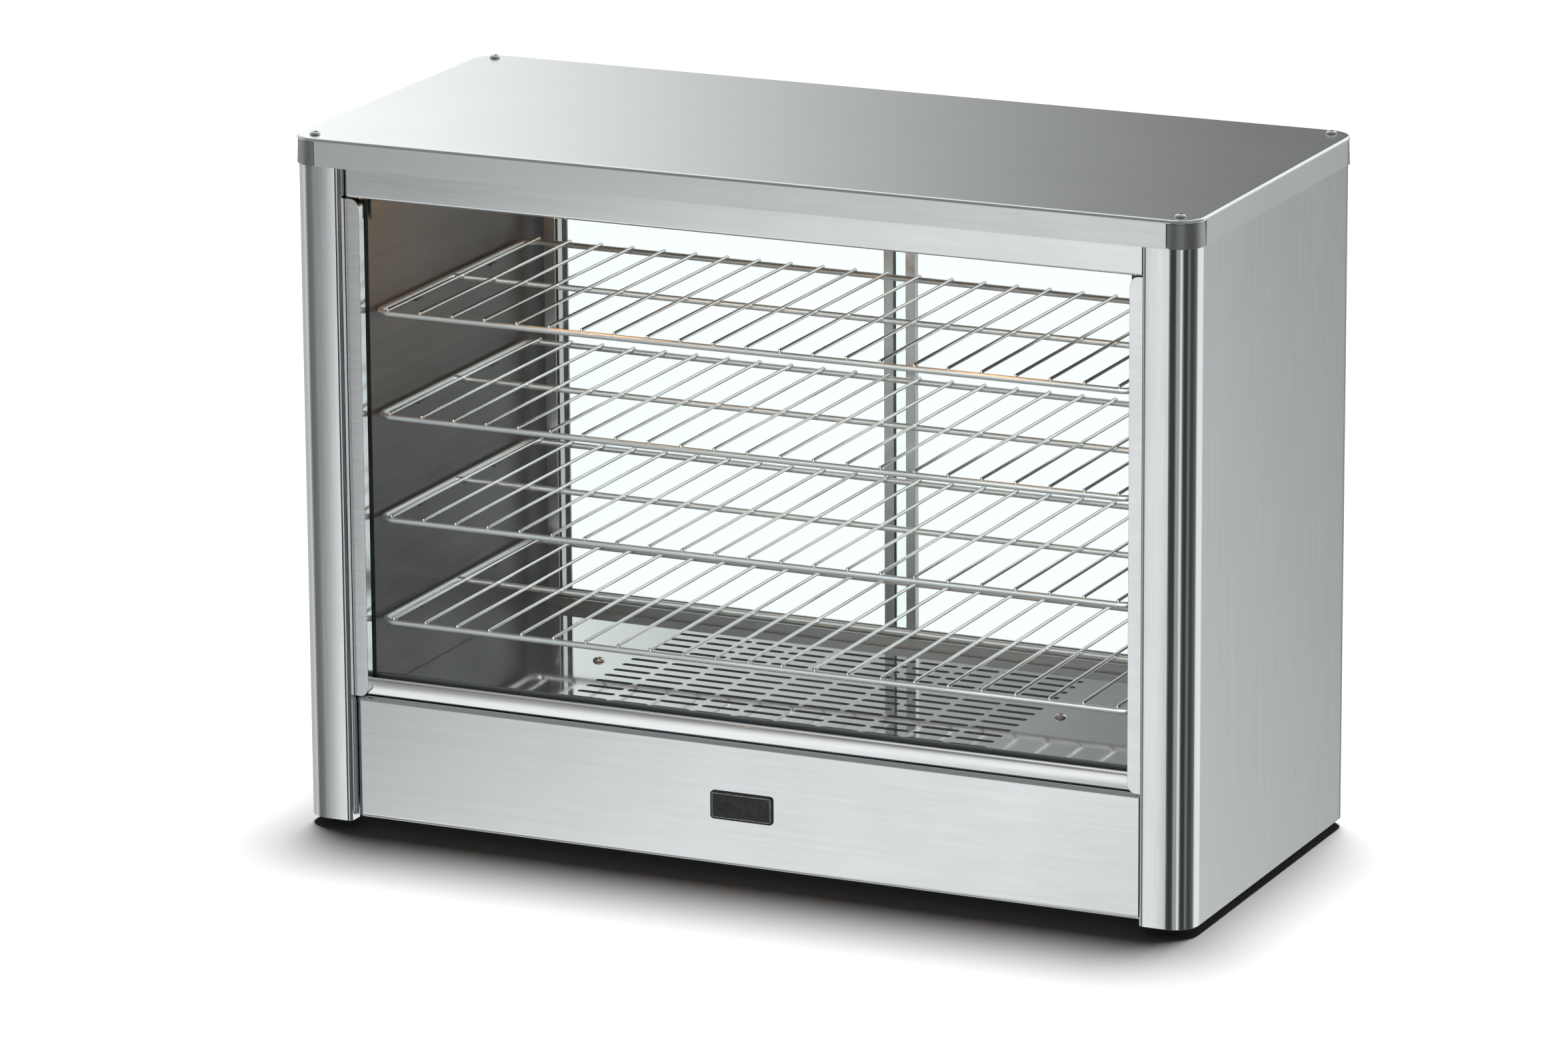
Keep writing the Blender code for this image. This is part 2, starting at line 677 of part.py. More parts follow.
def make_shelves():
    """Wire shelves: a round-cornered frame, one wire along the middle and cross wires on top."""
    sink = 0.0007
    cross = CROSS_WIRE
    for number, shelf_height in enumerate(shelf_heights(), 1):
        height = level(shelf_height)
        corners = [(-SHELF_HALF_LENGTH, SHELF_FRONT), (SHELF_HALF_LENGTH, SHELF_FRONT),
                   (SHELF_HALF_LENGTH, SHELF_REAR), (-SHELF_HALF_LENGTH, SHELF_REAR)]
        loop = rounded_path([(*corner, SHELF_CORNER, 4) for corner in corners], closed=True)
        shelf = wire(f"shelf_{number}", [(x, y, height) for x, y in loop], FRAME_WIRE, CHROME, closed=True)
        centre_y = (SHELF_FRONT + SHELF_REAR) / 2
        reach = SHELF_HALF_LENGTH
        keel = cylinder_mesh("keel", FRAME_WIRE, -reach, reach, "X", (centre_y, height), sides=6)
        boolean(shelf, place(f"keel_{number}", keel), "UNION")
        wire_z = height + FRAME_WIRE * math.cos(math.pi / 6) - sink + cross
        spans = []
        for index in range(CROSS_WIRES):
            x = (index - (CROSS_WIRES - 1) / 2) * CROSS_PITCH
            spans.append(((x - cross, SHELF_FRONT - 0.0012, wire_z - cross),
                          (x + cross, SHELF_REAR + 0.0012, wire_z + cross)))
        boolean(shelf, place(f"cross_wires_{number}", boxes_mesh("cross_wires", spans)), "UNION")


def make_ceiling():
    """The cabinet's ceiling, and the lamp trough ahead of it with an end plate at each side."""
    half = WALL_X - GAP
    height = level(CEILING)
    rear = TRACK_FRONT - GAP
    path = rounded_path([
        (TROUGH_REAR + LINER + GAP, height + 0.010),
        (TROUGH_REAR + LINER + GAP, height, 0.0015, 2),
        (rear, height),
    ])
    smooth(bent_sheet("ceiling_panel", path, "YZ", -half, half, LINER, LINER_STEEL, offset=-1))
    front = LINER_FRONT
    path = rounded_path([
        (front, level(GLASS_TOP - 0.002)),
        (front, level(TROUGH_TOP), 0.003, 2),
        (TROUGH_REAR, level(TROUGH_TOP), 0.003, 2),
        (TROUGH_REAR, height - 0.0015),
    ])
    trough = bent_sheet("lamp_trough", path, "YZ", -TROUGH_END_X, TROUGH_END_X, LINER, LINER_STEEL, offset=1)
    ends = []
    for x in (-1, 1):
        low, high = sorted((x * (TROUGH_END_X - LINER), x * (TROUGH_END_X + GAP)))
        ends.append(((low, front + GAP, level(TROUGH_END_BOTTOM)),
                     (high, TROUGH_REAR - GAP, level(TROUGH_TOP) - GAP)))
    boolean(trough, place("trough_ends", boxes_mesh("trough_ends", ends)), "UNION")
    smooth(trough)


def make_lamps():
    """Two capped lamps that lie along the trough, each screwed into a ceramic holder."""
    middle = (0, (GLASS_FACE + GLASS + TROUGH_REAR) / 2, level(LAMP_HEIGHT))
    collar = HOLDER_LENGTH - 0.002
    neck = LAMP_RADIUS * 0.6
    holder = [(0, collar), (HOLDER_RADIUS, collar), (HOLDER_RADIUS, 0.002), (HOLDER_RADIUS * 0.8, -0.002),
              (0, -0.002)]
    bulb = [(0, LAMP_LENGTH), (LAMP_RADIUS * 0.4, LAMP_LENGTH - 0.0015),
            (LAMP_RADIUS * 0.8, LAMP_LENGTH - 0.006), (LAMP_RADIUS, LAMP_LENGTH - 0.014),
            (LAMP_RADIUS, 0.058), (LAMP_RADIUS * 0.8, 0.049), (neck, 0.044), (neck, collar + GAP),
            (0, collar + GAP)]
    for x, side in SIDES:
        axis = "X" if x < 0 else "-X"
        base = Vector(middle) + Vector((x * (LAMP_X + 0.060), 0, 0))
        smooth(turned(f"lamp_holder_{side}", holder, CERAMIC, base, axis, 14))
        smooth(turned(f"lamp_{side}", bulb, LAMP_GLASS, base, axis, 14))


# Heating and base.
def make_base():
    """The pan that closes the bottom between the fascias, and the four feet under it."""
    half_x = CASE_X - STEEL - GAP
    front = -CASE_Y + APRON_RECESS + APRON_DEPTH + GAP
    low = level(BASE_LEVEL)
    box("base_pan", (-half_x, front, low), (half_x, REAR_FACE - GAP, low + STEEL), BRUSHED)
    top = low - GAP
    foot = [(0, top), (FOOT_RADIUS, top), (FOOT_RADIUS - 0.0010, 0.0015), (FOOT_RADIUS - 0.0035, 0), (0, 0)]
    for x, side in SIDES:
        for y, end in ENDS:
            spot = (x * FOOT_PLACE[0], y * FOOT_PLACE[1], 0)
            smooth(turned(f"foot_{end}_{side}", foot, RUBBER, spot, steps=16))


def make_heater():
    """A bent sheathed element under the deck, held off the base pan by two brackets."""
    height = level(ELEMENT_HEIGHT)
    reach_x, reach_y = ELEMENT_REACH
    first, last, ends_y = ELEMENT_TERMINALS
    outline = rounded_path([
        (first, ends_y),
        (first, reach_y, 0.012, 3),
        (-reach_x, reach_y, 0.020, 4),
        (-reach_x, -reach_y, 0.020, 4),
        (reach_x, -reach_y, 0.020, 4),
        (reach_x, reach_y, 0.020, 4),
        (last, reach_y, 0.012, 3),
        (last, ends_y),
    ])
    wire("heating_element", [(x, y, height) for x, y in outline], ELEMENT_RADIUS, ELEMENT_STEEL)
    floor = level(BASE_LEVEL) + STEEL + GAP
    rest = height - ELEMENT_RADIUS - GAP
    for x, side in SIDES:
        upright, toe = x * BRACKET_X, x * (BRACKET_X + BRACKET_FOOT)
        path = rounded_path([(toe, floor), (upright, floor), (upright, rest), (toe, rest)])
        bent_sheet(f"element_bracket_{side}", path, "XZ", -BRACKET_HALF_DEPTH, BRACKET_HALF_DEPTH, STEEL,
                   BRUSHED, offset=-x)


# Back.
def make_door_tracks():
    """Aluminium sections with two grooves each, one for either door."""
    half = TRACK_HALF_LENGTH
    pitch = (TRACK_REAR - TRACK_FRONT - TRACK_LIP) / 2
    lips = [TRACK_FRONT + index * pitch for index in range(3)]
    for name, base, web, tip in (
        ("door_track_bottom", level(TRACK_BASE), level(TRACK_BASE + TRACK_WEB), level(TRACK_TIPS[0])),
        ("door_track_top", level(CEILING), level(CEILING - TRACK_WEB), level(TRACK_TIPS[1])),
    ):
        outline = [(TRACK_FRONT, base), (TRACK_REAR, base)]
        for lip in reversed(lips):
            outline += [(lip + TRACK_LIP, tip), (lip, tip)]
            if lip != lips[0]:
                previous = lips[lips.index(lip) - 1]
                outline += [(lip, web), (previous + TRACK_LIP, web)]
        prism(name, outline, "YZ", -half, half, ALUMINIUM)


def door_groove(index):
    """The middle of a track groove: 0 is nearer the cabinet, 1 nearer the user."""
    pitch = (TRACK_REAR - TRACK_FRONT - TRACK_LIP) / 2
    return TRACK_FRONT + TRACK_LIP / 2 + pitch * (index + 0.5)


def make_doors():
    """Each door is a sheet of glass with a plain profile where the doors meet and a pull outside."""
    glass_low, glass_high = level(TRACK_BASE + TRACK_WEB) + 2 * GAP, level(DOOR_GLASS_TOP)
    profile_low, profile_high = (level(end) for end in DOOR_PROFILE_ENDS)
    thick, width = DOOR_EDGE
    slot = GLASS / 2 + GAP
    for x, side, groove in ((-1, "left", 0), (1, "right", 1)):
        y = door_groove(groove)
        outer, meeting = x * DOOR_HALF_SPAN, -x * DOOR_OVERLAP / 2
        sheet_outer = x * (DOOR_HALF_SPAN - 0.002)
        sheet_meeting = -x * (DOOR_OVERLAP / 2 - 0.002)
        low, high = sorted((sheet_outer, sheet_meeting))
        box(f"door_glass_{side}", (low, y - GLASS / 2, glass_low), (high, y + GLASS / 2, glass_high),
            CLEAR_GLASS)
        inner_edge = sheet_meeting - x * GAP
        section = [
            (meeting, y - thick / 2), (meeting + x * width, y - thick / 2), (meeting + x * width, y - slot),
            (inner_edge, y - slot), (inner_edge, y + slot), (meeting + x * width, y + slot),
            (meeting + x * width, y + thick / 2), (meeting, y + thick / 2),
        ]
        prism(f"door_meeting_edge_{side}", section, "XY", profile_low, profile_high, ALUMINIUM)
        pull_end = outer - x * DOOR_PULL_WIDTH
        inner_edge = sheet_outer + x * GAP
        lip, lip_back = y + thick / 2 + DOOR_PULL_REACH, pull_end + x * DOOR_PULL_LIP
        section = [
            (outer, y - thick / 2), (pull_end, y - thick / 2), (pull_end, y - slot), (inner_edge, y - slot),
            (inner_edge, y + slot), (pull_end, y + slot), (pull_end, lip), (lip_back, lip),
            (lip_back, y + thick / 2), (outer, y + thick / 2),
        ]
        prism(f"door_pull_{side}", section, "XY", profile_low, profile_high, ALUMINIUM)


def make_rear_panels():
    half = REAR_STILE_INNER_X - GAP
    face = CASE_Y - 0.0005
    header = pan("rear_header", (-half, TRACK_REAR + GAP, level(REAR_HEADER_ENDS[0])),
                 (half, face, level(REAR_HEADER_ENDS[1])), 1, 0.0012, LINER, BRUSHED)
    face = REAR_FACE
    half = CASE_X - STEEL - GAP
    panel = pan("rear_control_panel", (-half, face - REAR_PANEL_DEPTH, level(REAR_PANEL_ENDS[0])),
                (half, face, level(REAR_PANEL_ENDS[1])), 1, 0.0025, STEEL, BRUSHED)
    openings = bmesh.new()
    deep = 0.02
    for x, radius in ((KNOB_X, 0.0045), (PILOT_X, 0.0060), (GLAND_X, 0.0095)):
        spot = Matrix.Translation((x, face, level(CONTROL_Z))) @ Matrix.Rotation(math.pi / 2, 4, "X")
        bmesh.ops.create_cone(openings, cap_ends=True, segments=16, radius1=radius, radius2=radius,
                              depth=deep, matrix=spot)
    window = Matrix.Diagonal((SWITCH_BODY[0] + 2 * GAP, deep, SWITCH_BODY[1] + 2 * GAP, 1))
    spot = Matrix.Translation((SWITCH_X, face, level(CONTROL_Z)))
    bmesh.ops.create_cube(openings, size=1, matrix=spot @ window)
    boolean(panel, place("control_openings", mesh_from(openings, "control_openings")))
    for made in (header, panel):
        smooth(made)


def make_power_switch():
    """The bezel is a flange and a body through the panel; the rocker tips about a level pin."""
    face = REAR_FACE
    z = level(CONTROL_Z)
    outer, body, window = (Vector(pair) / 2 for pair in (SWITCH_FLANGE, SWITCH_BODY, SWITCH_WINDOW))
    bezel = box("power_switch_bezel", (SWITCH_X - outer[0], face + GAP, z - outer[1]),
                (SWITCH_X + outer[0], face + 0.0020, z + outer[1]), BLACK_PLASTIC)
    neck = box("bezel_body", (SWITCH_X - body[0], face - 0.018, z - body[1]),
               (SWITCH_X + body[0], face + 0.0010, z + body[1]))
    boolean(bezel, neck, "UNION")
    well = box("bezel_window", (SWITCH_X - window[0], face - 0.014, z - window[1]),
               (SWITCH_X + window[0], face + 0.01, z + window[1]))
    boolean(bezel, well)
    key = [(0.0046, -0.0098), (0.0026, 0.0), (0.0046, 0.0098), (-0.0060, 0.0085), (-0.0080, 0.0),
           (-0.0060, -0.0085)]
    turn = Matrix.Rotation(ROCKER_TILT, 2)
    outline = [turn @ Vector(point) + Vector((face - 0.0010, z)) for point in key]
    half = window[0] - 2 * GAP
    prism("power_rocker", outline, "YZ", SWITCH_X - half, SWITCH_X + half, BLACK_PLASTIC)


def make_controls():
    face = REAR_FACE
    z = level(CONTROL_Z)
    behind = face - STEEL - GAP
    half = THERMOSTAT_SIZE[0] / 2
    body = box("thermostat_body", (KNOB_X - half, behind - THERMOSTAT_SIZE[1], z - half),
               (KNOB_X + half, behind, z + half), LINER_STEEL)
    shaft = cylinder_mesh("shaft", 0.0030, behind - 0.005, face + 0.0100, "Y", (KNOB_X, z), sides=12)
    boolean(body, place("thermostat_shaft", shaft), "UNION")
    bore = 0.0034
    knob = [(0, KNOB_HEIGHT), (KNOB_RADIUS - 0.0040, KNOB_HEIGHT),
            (KNOB_RADIUS - 0.0028, KNOB_HEIGHT - 0.0015), (KNOB_RADIUS - 0.0015, 0.0040),
            (KNOB_RADIUS, 0.0028), (KNOB_RADIUS, 2 * GAP), (bore, 2 * GAP), (bore, 0.0106), (0, 0.0106)]
    smooth(turned("thermostat_knob", knob, BLACK_PLASTIC, (KNOB_X, face, z), "Y", 24))
    lens = [(0, 0.0045), (0.0038, 0.0038), (0.0056, 0.0012), (0.0075, 0.0010), (0.0075, GAP), (0.0056, GAP),
            (0.0056, -0.014), (0, -0.014)]
    smooth(turned("pilot_lamp", lens, PILOT_AMBER, (PILOT_X, face, z), "Y", 16))
    gland = [(0.0040, 0.0150), (0.0060, 0.0150), (0.0075, 0.0110), (0.0125, 0.0105), (0.0125, GAP),
             (0.0090, GAP), (0.0090, -0.010), (0.0040, -0.010), (0.0040, 0.0150)]
    smooth(turned("cable_gland", gland, BLACK_PLASTIC, (GLAND_X, face, z), "Y", 16))
    low = Vector((*BLOCK_LOW, level(BASE_LEVEL) + STEEL + GAP))
    box("terminal_block", low, low + Vector(BLOCK_SIZE), BLOCK_NYLON)


make_lid()
make_corner_caps()
make_lid_screws()
make_side_casings()
make_front_panels()
make_front_glazing()
make_inner_walls()
make_deck()
make_shelves()
make_ceiling()
make_lamps()
make_base()
make_heater()
make_door_tracks()
make_doors()
make_rear_panels()
make_power_switch()
make_controls()
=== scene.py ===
"""Looks of the heated countertop display case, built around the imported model: satin steel,
clear glass, round wire shelves, lit lamps, and the small fittings on its back.

Metres, +Z up, +X to the right as seen from the front, front face towards -Y.
"""

import json
import math

import bmesh
import bpy
from mathutils import Matrix, Vector

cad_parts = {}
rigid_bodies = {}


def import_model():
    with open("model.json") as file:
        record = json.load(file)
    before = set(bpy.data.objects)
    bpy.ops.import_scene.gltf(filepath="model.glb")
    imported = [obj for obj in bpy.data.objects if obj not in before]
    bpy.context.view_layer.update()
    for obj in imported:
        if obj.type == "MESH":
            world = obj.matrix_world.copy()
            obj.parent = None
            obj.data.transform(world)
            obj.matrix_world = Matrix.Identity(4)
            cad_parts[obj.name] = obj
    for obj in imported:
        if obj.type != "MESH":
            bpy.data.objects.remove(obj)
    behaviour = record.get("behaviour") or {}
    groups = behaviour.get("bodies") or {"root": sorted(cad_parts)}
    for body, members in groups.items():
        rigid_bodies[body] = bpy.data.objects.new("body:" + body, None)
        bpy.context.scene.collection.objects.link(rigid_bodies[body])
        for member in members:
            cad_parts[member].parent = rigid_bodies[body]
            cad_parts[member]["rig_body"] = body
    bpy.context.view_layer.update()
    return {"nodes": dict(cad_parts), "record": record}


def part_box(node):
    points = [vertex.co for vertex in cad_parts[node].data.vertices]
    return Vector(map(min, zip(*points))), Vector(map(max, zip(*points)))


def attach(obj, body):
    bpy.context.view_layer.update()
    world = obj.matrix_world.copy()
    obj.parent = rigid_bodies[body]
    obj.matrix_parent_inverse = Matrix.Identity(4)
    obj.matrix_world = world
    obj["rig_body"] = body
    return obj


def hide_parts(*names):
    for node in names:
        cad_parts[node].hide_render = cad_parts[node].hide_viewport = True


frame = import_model()

# Camera.
LENS = 187.97
SENSOR = 36
FAR_CLIP = 60
CAMERA_PLACE = (2.54290, -5.58481, 1.90960)
CAMERA_TARGET = (-0.03452, 0.0, 0.24096)
CAMERA_ROLL = -0.00652

# Sheet metal.
SHEET = 0.0010
CASE_CORNER = 0.0211
CAP_LEAN = 0.0007
SILL_RUN_ON = 0.0090
CAP_FOOT_RADIUS = 0.0030
SEAL_BAR_RISE = 0.0040

# Shelves, matched to the frame's own shelf boxes.
CROSS_WIRES = 23
CROSS_PITCH = 0.0277
CROSS_RADIUS = 0.00135
FRAME_RADIUS = 0.0025
FRAME_CORNER = 0.012

# Deck.
SLOT_COLUMNS = 10
SLOT_ROWS = 13
SLOT_SIZE = (0.0323, 0.0058)
SLOT_PITCH = (0.03575, 0.01606)
SLOT_FIELD_Y = 0.0024
DECK_BEND = 0.0015
DECK_SCREW_HOLE = 0.0026

# Badge.
BADGE_LINE_INSET = 0.0016
BADGE_LINE_WIDTH = 0.00035
BADGE_LINE_CORNER = 0.0014

# Screws: shares of the head's radius, and the rear panels' smaller screws in metres.
HEAD_RISE = 0.55
CROSS_ARM = (0.26, 1.15)
CROSS_DEPTH = 0.42
LID_SHANK_SHARE = 0.44
PANEL_SCREW_RADIUS = 0.0034
PANEL_SCREW_RISE = 0.0014
PANEL_SCREW_CROSS = (0.00042, 0.0020)
PANEL_SCREW_X = (0.345, 0.285)
PANEL_SCREW_INSET = 0.012

# Floor and overhead sun: its turn and width are in degrees.
FLOOR_HALF = 14
SUN_ENERGY = 3.7
SUN_TURN = (-8, -1.5, 0)
SUN_ANGLE = 15

# Lamps, and the key light of the shelves' wires: its turn and width are in degrees.
LAMP_GLOW = 0.9
GLOW_COLOUR = (1.0, 0.46, 0.16)
WIRE_LIGHT = 2.8
WIRE_LIGHT_TURN = (62, 0, 12)
WIRE_LIGHT_ANGLE = 12
FILAMENT_TURNS = 9
FILAMENT_RADIUS = 0.0004
COIL_RADIUS = 0.0022

# Controls.
KNOB_FLUTES = 28
GRIP_HALF_WIDTH = 0.0036
GLAND_BORE = 0.0041
DIAL_TICKS = 7
DIAL_SWEEP = 270
DIAL_RADIUS = (0.0215, 0.0245)
DIAL_NUMBER_SIZE = 0.0062
DIAL_NUMBER_GAP = 0.0042
PRINT = 0.00012

WELD = 1e-5
SIDES = ((-1, "left"), (1, "right"))
ENDS = ((-1, "front"), (1, "rear"))


# Camera, floor and light.
def make_camera():
    data = bpy.data.cameras.new("camera")
    data.lens = LENS
    data.sensor_width = SENSOR
    data.clip_end = FAR_CLIP
    camera = bpy.data.objects.new("camera", data)
    bpy.context.scene.collection.objects.link(camera)
    place = Vector(CAMERA_PLACE)
    aim = (Vector(CAMERA_TARGET) - place).to_track_quat("-Z", "Y").to_matrix().to_4x4()
    camera.matrix_world = Matrix.Translation(place) @ aim @ Matrix.Rotation(CAMERA_ROLL, 4, "Z")
    bpy.context.scene.camera = camera


class Recipe:
    """A node material, or the world, wired one node at a time."""

    def __init__(self, name, owner=None):
        self.owner = owner or bpy.data.materials.new(name)
        self.owner.use_nodes = True
        self.tree = self.owner.node_tree
        self.shader = self.tree.nodes.get("Principled BSDF")

    def add(self, kind, inputs=(), **settings):
        node = self.tree.nodes.new(kind)
        for key, value in settings.items():
            setattr(node, key, value)
        for key, value in dict(inputs).items():
            self.feed(node.inputs[key], value)
        return node

    def feed(self, socket, value):
        if isinstance(value, bpy.types.NodeSocket):
            self.tree.links.new(value, socket)
        else:
            socket.default_value = value

    def surface(self, **inputs):
        for key, value in inputs.items():
            self.feed(self.shader.inputs[key.replace("_", " ")], value)

    def noise(self, scale, detail=3.0, stretch=(1, 1, 1), roughness=0.55):
        """Noise in the object's own metres; stretch squeezes it along an axis."""
        place = self.add("ShaderNodeTexCoord").outputs["Object"]
        place = self.add("ShaderNodeMapping", {"Vector": place, "Scale": stretch}).outputs["Vector"]
        made = self.add("ShaderNodeTexNoise", {"Vector": place, "Scale": scale, "Detail": detail,
                                               "Roughness": roughness})
        return made.outputs["Fac"]

    def remap(self, value, low, high, start=0.3, stop=0.7):
        made = self.add("ShaderNodeMapRange", {"Value": value, "From Min": start, "From Max": stop,
                                               "To Min": low, "To Max": high})
        return made.outputs["Result"]

    def math(self, operation, first, second=0.0):
        made = self.add("ShaderNodeMath", operation=operation)
        self.feed(made.inputs[0], first)
        self.feed(made.inputs[1], second)
        return made.outputs["Value"]

    def blend(self, share, first, second):
        made = self.add("ShaderNodeMix", data_type="RGBA")
        self.feed(made.inputs["Factor"], share)
        for socket, value in zip([s for s in made.inputs if s.type == "RGBA"], (first, second)):
            self.feed(socket, value if isinstance(value, bpy.types.NodeSocket) else (*value, 1))
        return next(s for s in made.outputs if s.type == "RGBA")

    def ramp(self, value, stops):
        made = self.add("ShaderNodeValToRGB", {"Fac": value})
        line = made.color_ramp
        while len(line.elements) < len(stops):
            line.elements.new(0.5)
        for element, (position, shade) in zip(line.elements, stops):
            element.position = position
            element.color = (shade, shade, shade, 1)
        return made.outputs["Color"]

    def bump(self, height, strength, distance=0.001):
        made = self.add("ShaderNodeBump", {"Height": height, "Strength": strength, "Distance": distance})
        self.feed(self.shader.inputs["Normal"], made.outputs["Normal"])


# The studio round the case, by compass bearing in degrees (0 is +X, 90 is +Y): what a wall of the
# case mirrors, which lies below the horizon, and what its lid mirrors, which lies above it.
LOW_STUDIO = [
    (-180, 0.80), (-166, 0.60), (-156, 0.16), (-136, 0.17), (-128, 0.22), (-120, 0.24), (-116.2, 0.20),
    (-115.2, 1.06), (-108, 1.10), (-106.8, 0.05), (-79, 0.04), (-75.5, 0.42), (-66.5, 0.40), (-65, 0.18),
    (-62.5, 0.20), (-61, 0.90), (-51, 0.90), (-49.5, 0.04), (-27, 0.04), (-25, 0.22), (-17, 0.20),
    (-14, 0.05), (3, 0.06), (6, 0.12), (19, 0.12), (23, 0.95), (57, 0.95), (64.5, 0.95), (70, 0.17),
    (76, 0.20), (90, 0.45), (128, 0.55),
]
HIGH_STUDIO = [
    (-180, 0.50), (-160, 0.30), (-148, 0.24), (-108, 0.24), (-60, 0.20), (0, 0.30), (52, 0.30),
    (58, 1.10), (97, 1.10), (100, 0.12), (108, 0.12), (110.4, 0.14), (111.5, 0.19), (113.2, 0.31),
    (115, 0.57), (116.8, 0.98), (118.2, 1.26), (124, 1.30), (150, 0.80), (180, 0.50),
]
CARD_SLANT = 0.22
CARD_LEVEL = -0.22
SKY_SHADE = 1.0
SHADE_LIGHT = 0.02


def make_world():
    """Mirrors see the studio, the camera a white backdrop, and matt surfaces only a faint fill."""
    world = bpy.data.worlds.new("studio")
    bpy.context.scene.world = world
    recipe = Recipe("studio", world)
    heading = recipe.add("ShaderNodeTexCoord").outputs["Generated"]
    way = recipe.add("ShaderNodeSeparateXYZ", {"Vector": heading})
    bearing = recipe.math("ARCTAN2", way.outputs["Y"], way.outputs["X"])
    slant = recipe.math("MULTIPLY", recipe.math("SUBTRACT", way.outputs["Z"], CARD_LEVEL), CARD_SLANT)
    slanted = recipe.math("MULTIPLY", bearing, recipe.math("ADD", slant, 1))
    low, high = (recipe.ramp(recipe.remap(angle, 0, 1, -math.pi, math.pi),
                             [((a + 180) / 360, shade) for a, shade in stops])
                 for angle, stops in ((slanted, LOW_STUDIO), (bearing, HIGH_STUDIO)))
    above = recipe.remap(way.outputs["Z"], 0, 1, -0.06, 0.10)
    around = recipe.blend(above, low, high)
    rays = recipe.add("ShaderNodeLightPath").outputs
    matt = recipe.math("MINIMUM", rays["Diffuse Depth"], 1)
    fill = recipe.blend(matt, around, (SHADE_LIGHT,) * 3)
    shade = recipe.blend(rays["Is Camera Ray"], fill, (SKY_SHADE,) * 3)
    recipe.feed(recipe.tree.nodes["Background"].inputs["Color"], shade)


def make_lamp_light(side, lit):
    """The warm light of one lamp; it reaches the case's own pieces and not the floor."""
    low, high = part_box(f"lamp_{side}")
    data = bpy.data.lights.new(f"lamp_light_{side}", "POINT")
    data.energy = LAMP_GLOW
    data.color = GLOW_COLOUR
    data.shadow_soft_size = (high.z - low.z) / 2
    lamp = bpy.data.objects.new(f"lamp_light_{side}", data)
    bpy.context.scene.collection.objects.link(lamp)
    lamp.location = (low + high) / 2 - Vector((0, 0, high.z - low.z))
    lamp.visible_camera = False
    lamp.light_linking.receiver_collection = lit


def make_wire_light(wires):
    """A key from the front that only the shelves' wires take."""
    data = bpy.data.lights.new("wire_light", "SUN")
    data.energy = WIRE_LIGHT
    data.angle = math.radians(WIRE_LIGHT_ANGLE)
    key = bpy.data.objects.new("wire_light", data)
    bpy.context.scene.collection.objects.link(key)
    key.rotation_euler = [math.radians(angle) for angle in WIRE_LIGHT_TURN]
    key.light_linking.receiver_collection = wires


def make_stage():
    work = bmesh.new()
    bmesh.ops.create_grid(work, x_segments=1, y_segments=1, size=FLOOR_HALF)
    floor = add_mesh("floor", mesh_from(work))
    recipe = Recipe("pale_floor")
    tone = recipe.remap(recipe.noise(1.5, 2), 0.93, 0.95)
    grey = recipe.add("ShaderNodeCombineColor", {"Red": tone, "Green": tone, "Blue": tone})
    recipe.surface(Base_Color=grey.outputs["Color"], Roughness=0.9, Specular_IOR_Level=0.0)
    floor.data.materials.append(recipe.owner)
    floor.visible_glossy = False
    sun = bpy.data.lights.new("overhead", "SUN")
    sun.energy = SUN_ENERGY
    sun.angle = math.radians(SUN_ANGLE)
    overhead = bpy.data.objects.new("overhead", sun)
    bpy.context.scene.collection.objects.link(overhead)
    overhead.rotation_euler = [math.radians(angle) for angle in SUN_TURN]
    overhead.visible_glossy = False


# Finishes.
def brushed(name, tint, roughness, grain_axis="X", grain=0.05, marks=0.03, bump=0.02, metal=1.0):
    """Metal with fine lines along one axis, and faint handling marks that dull it."""
    recipe = Recipe(name)
    stretch = {"X": (0.02, 1, 1), "Y": (1, 0.02, 1), "Z": (1, 1, 0.02), "none": (1, 1, 1)}[grain_axis]
    fine = recipe.noise(1100, 3, stretch, 0.7)
    broad = recipe.noise(160, 2, stretch)
    handled = recipe.noise(9, 3)
    darker = tuple(value * (1 - grain) for value in tint)
    lighter = tuple(min(1, value * (1 + grain)) for value in tint)
    streak = recipe.remap(recipe.math("ADD", fine, broad), 0, 1, 0.7, 1.3)
    worn = recipe.math("MULTIPLY", recipe.remap(handled, 0, 1), marks)
    polish = recipe.remap(fine, roughness - 0.02, roughness + 0.02)
    recipe.surface(Base_Color=recipe.blend(streak, darker, lighter), Metallic=metal,
                   Roughness=recipe.math("ADD", polish, worn))
    recipe.bump(fine, bump, 0.0002)
    return recipe.owner


def plastic(name, tint, roughness, texture=900, bump=0.15, **extra):
    recipe = Recipe(name)
    skin_noise = recipe.noise(texture, 2)
    lighter = tuple(value * 1.25 + 0.004 for value in tint)
    recipe.surface(Base_Color=recipe.blend(recipe.remap(recipe.noise(60, 2), 0, 1), tint, lighter),
                   Roughness=recipe.remap(skin_noise, roughness - 0.05, roughness + 0.07), **extra)
    recipe.bump(skin_noise, bump, 0.0002)
    return recipe.owner


def see_through(recipe, share, clear, other):
    """A surface that is clear for most of the light and something else for a share of it."""
    both = recipe.add("ShaderNodeMixShader")
    recipe.feed(both.inputs[0], share)
    through = recipe.add("ShaderNodeBsdfTransparent", {"Color": (*clear, 1)})
    recipe.feed(both.inputs[1], through.outputs["BSDF"])
    recipe.feed(both.inputs[2], other)
    recipe.feed(recipe.tree.nodes["Material Output"].inputs["Surface"], both.outputs["Shader"])
    return recipe.owner


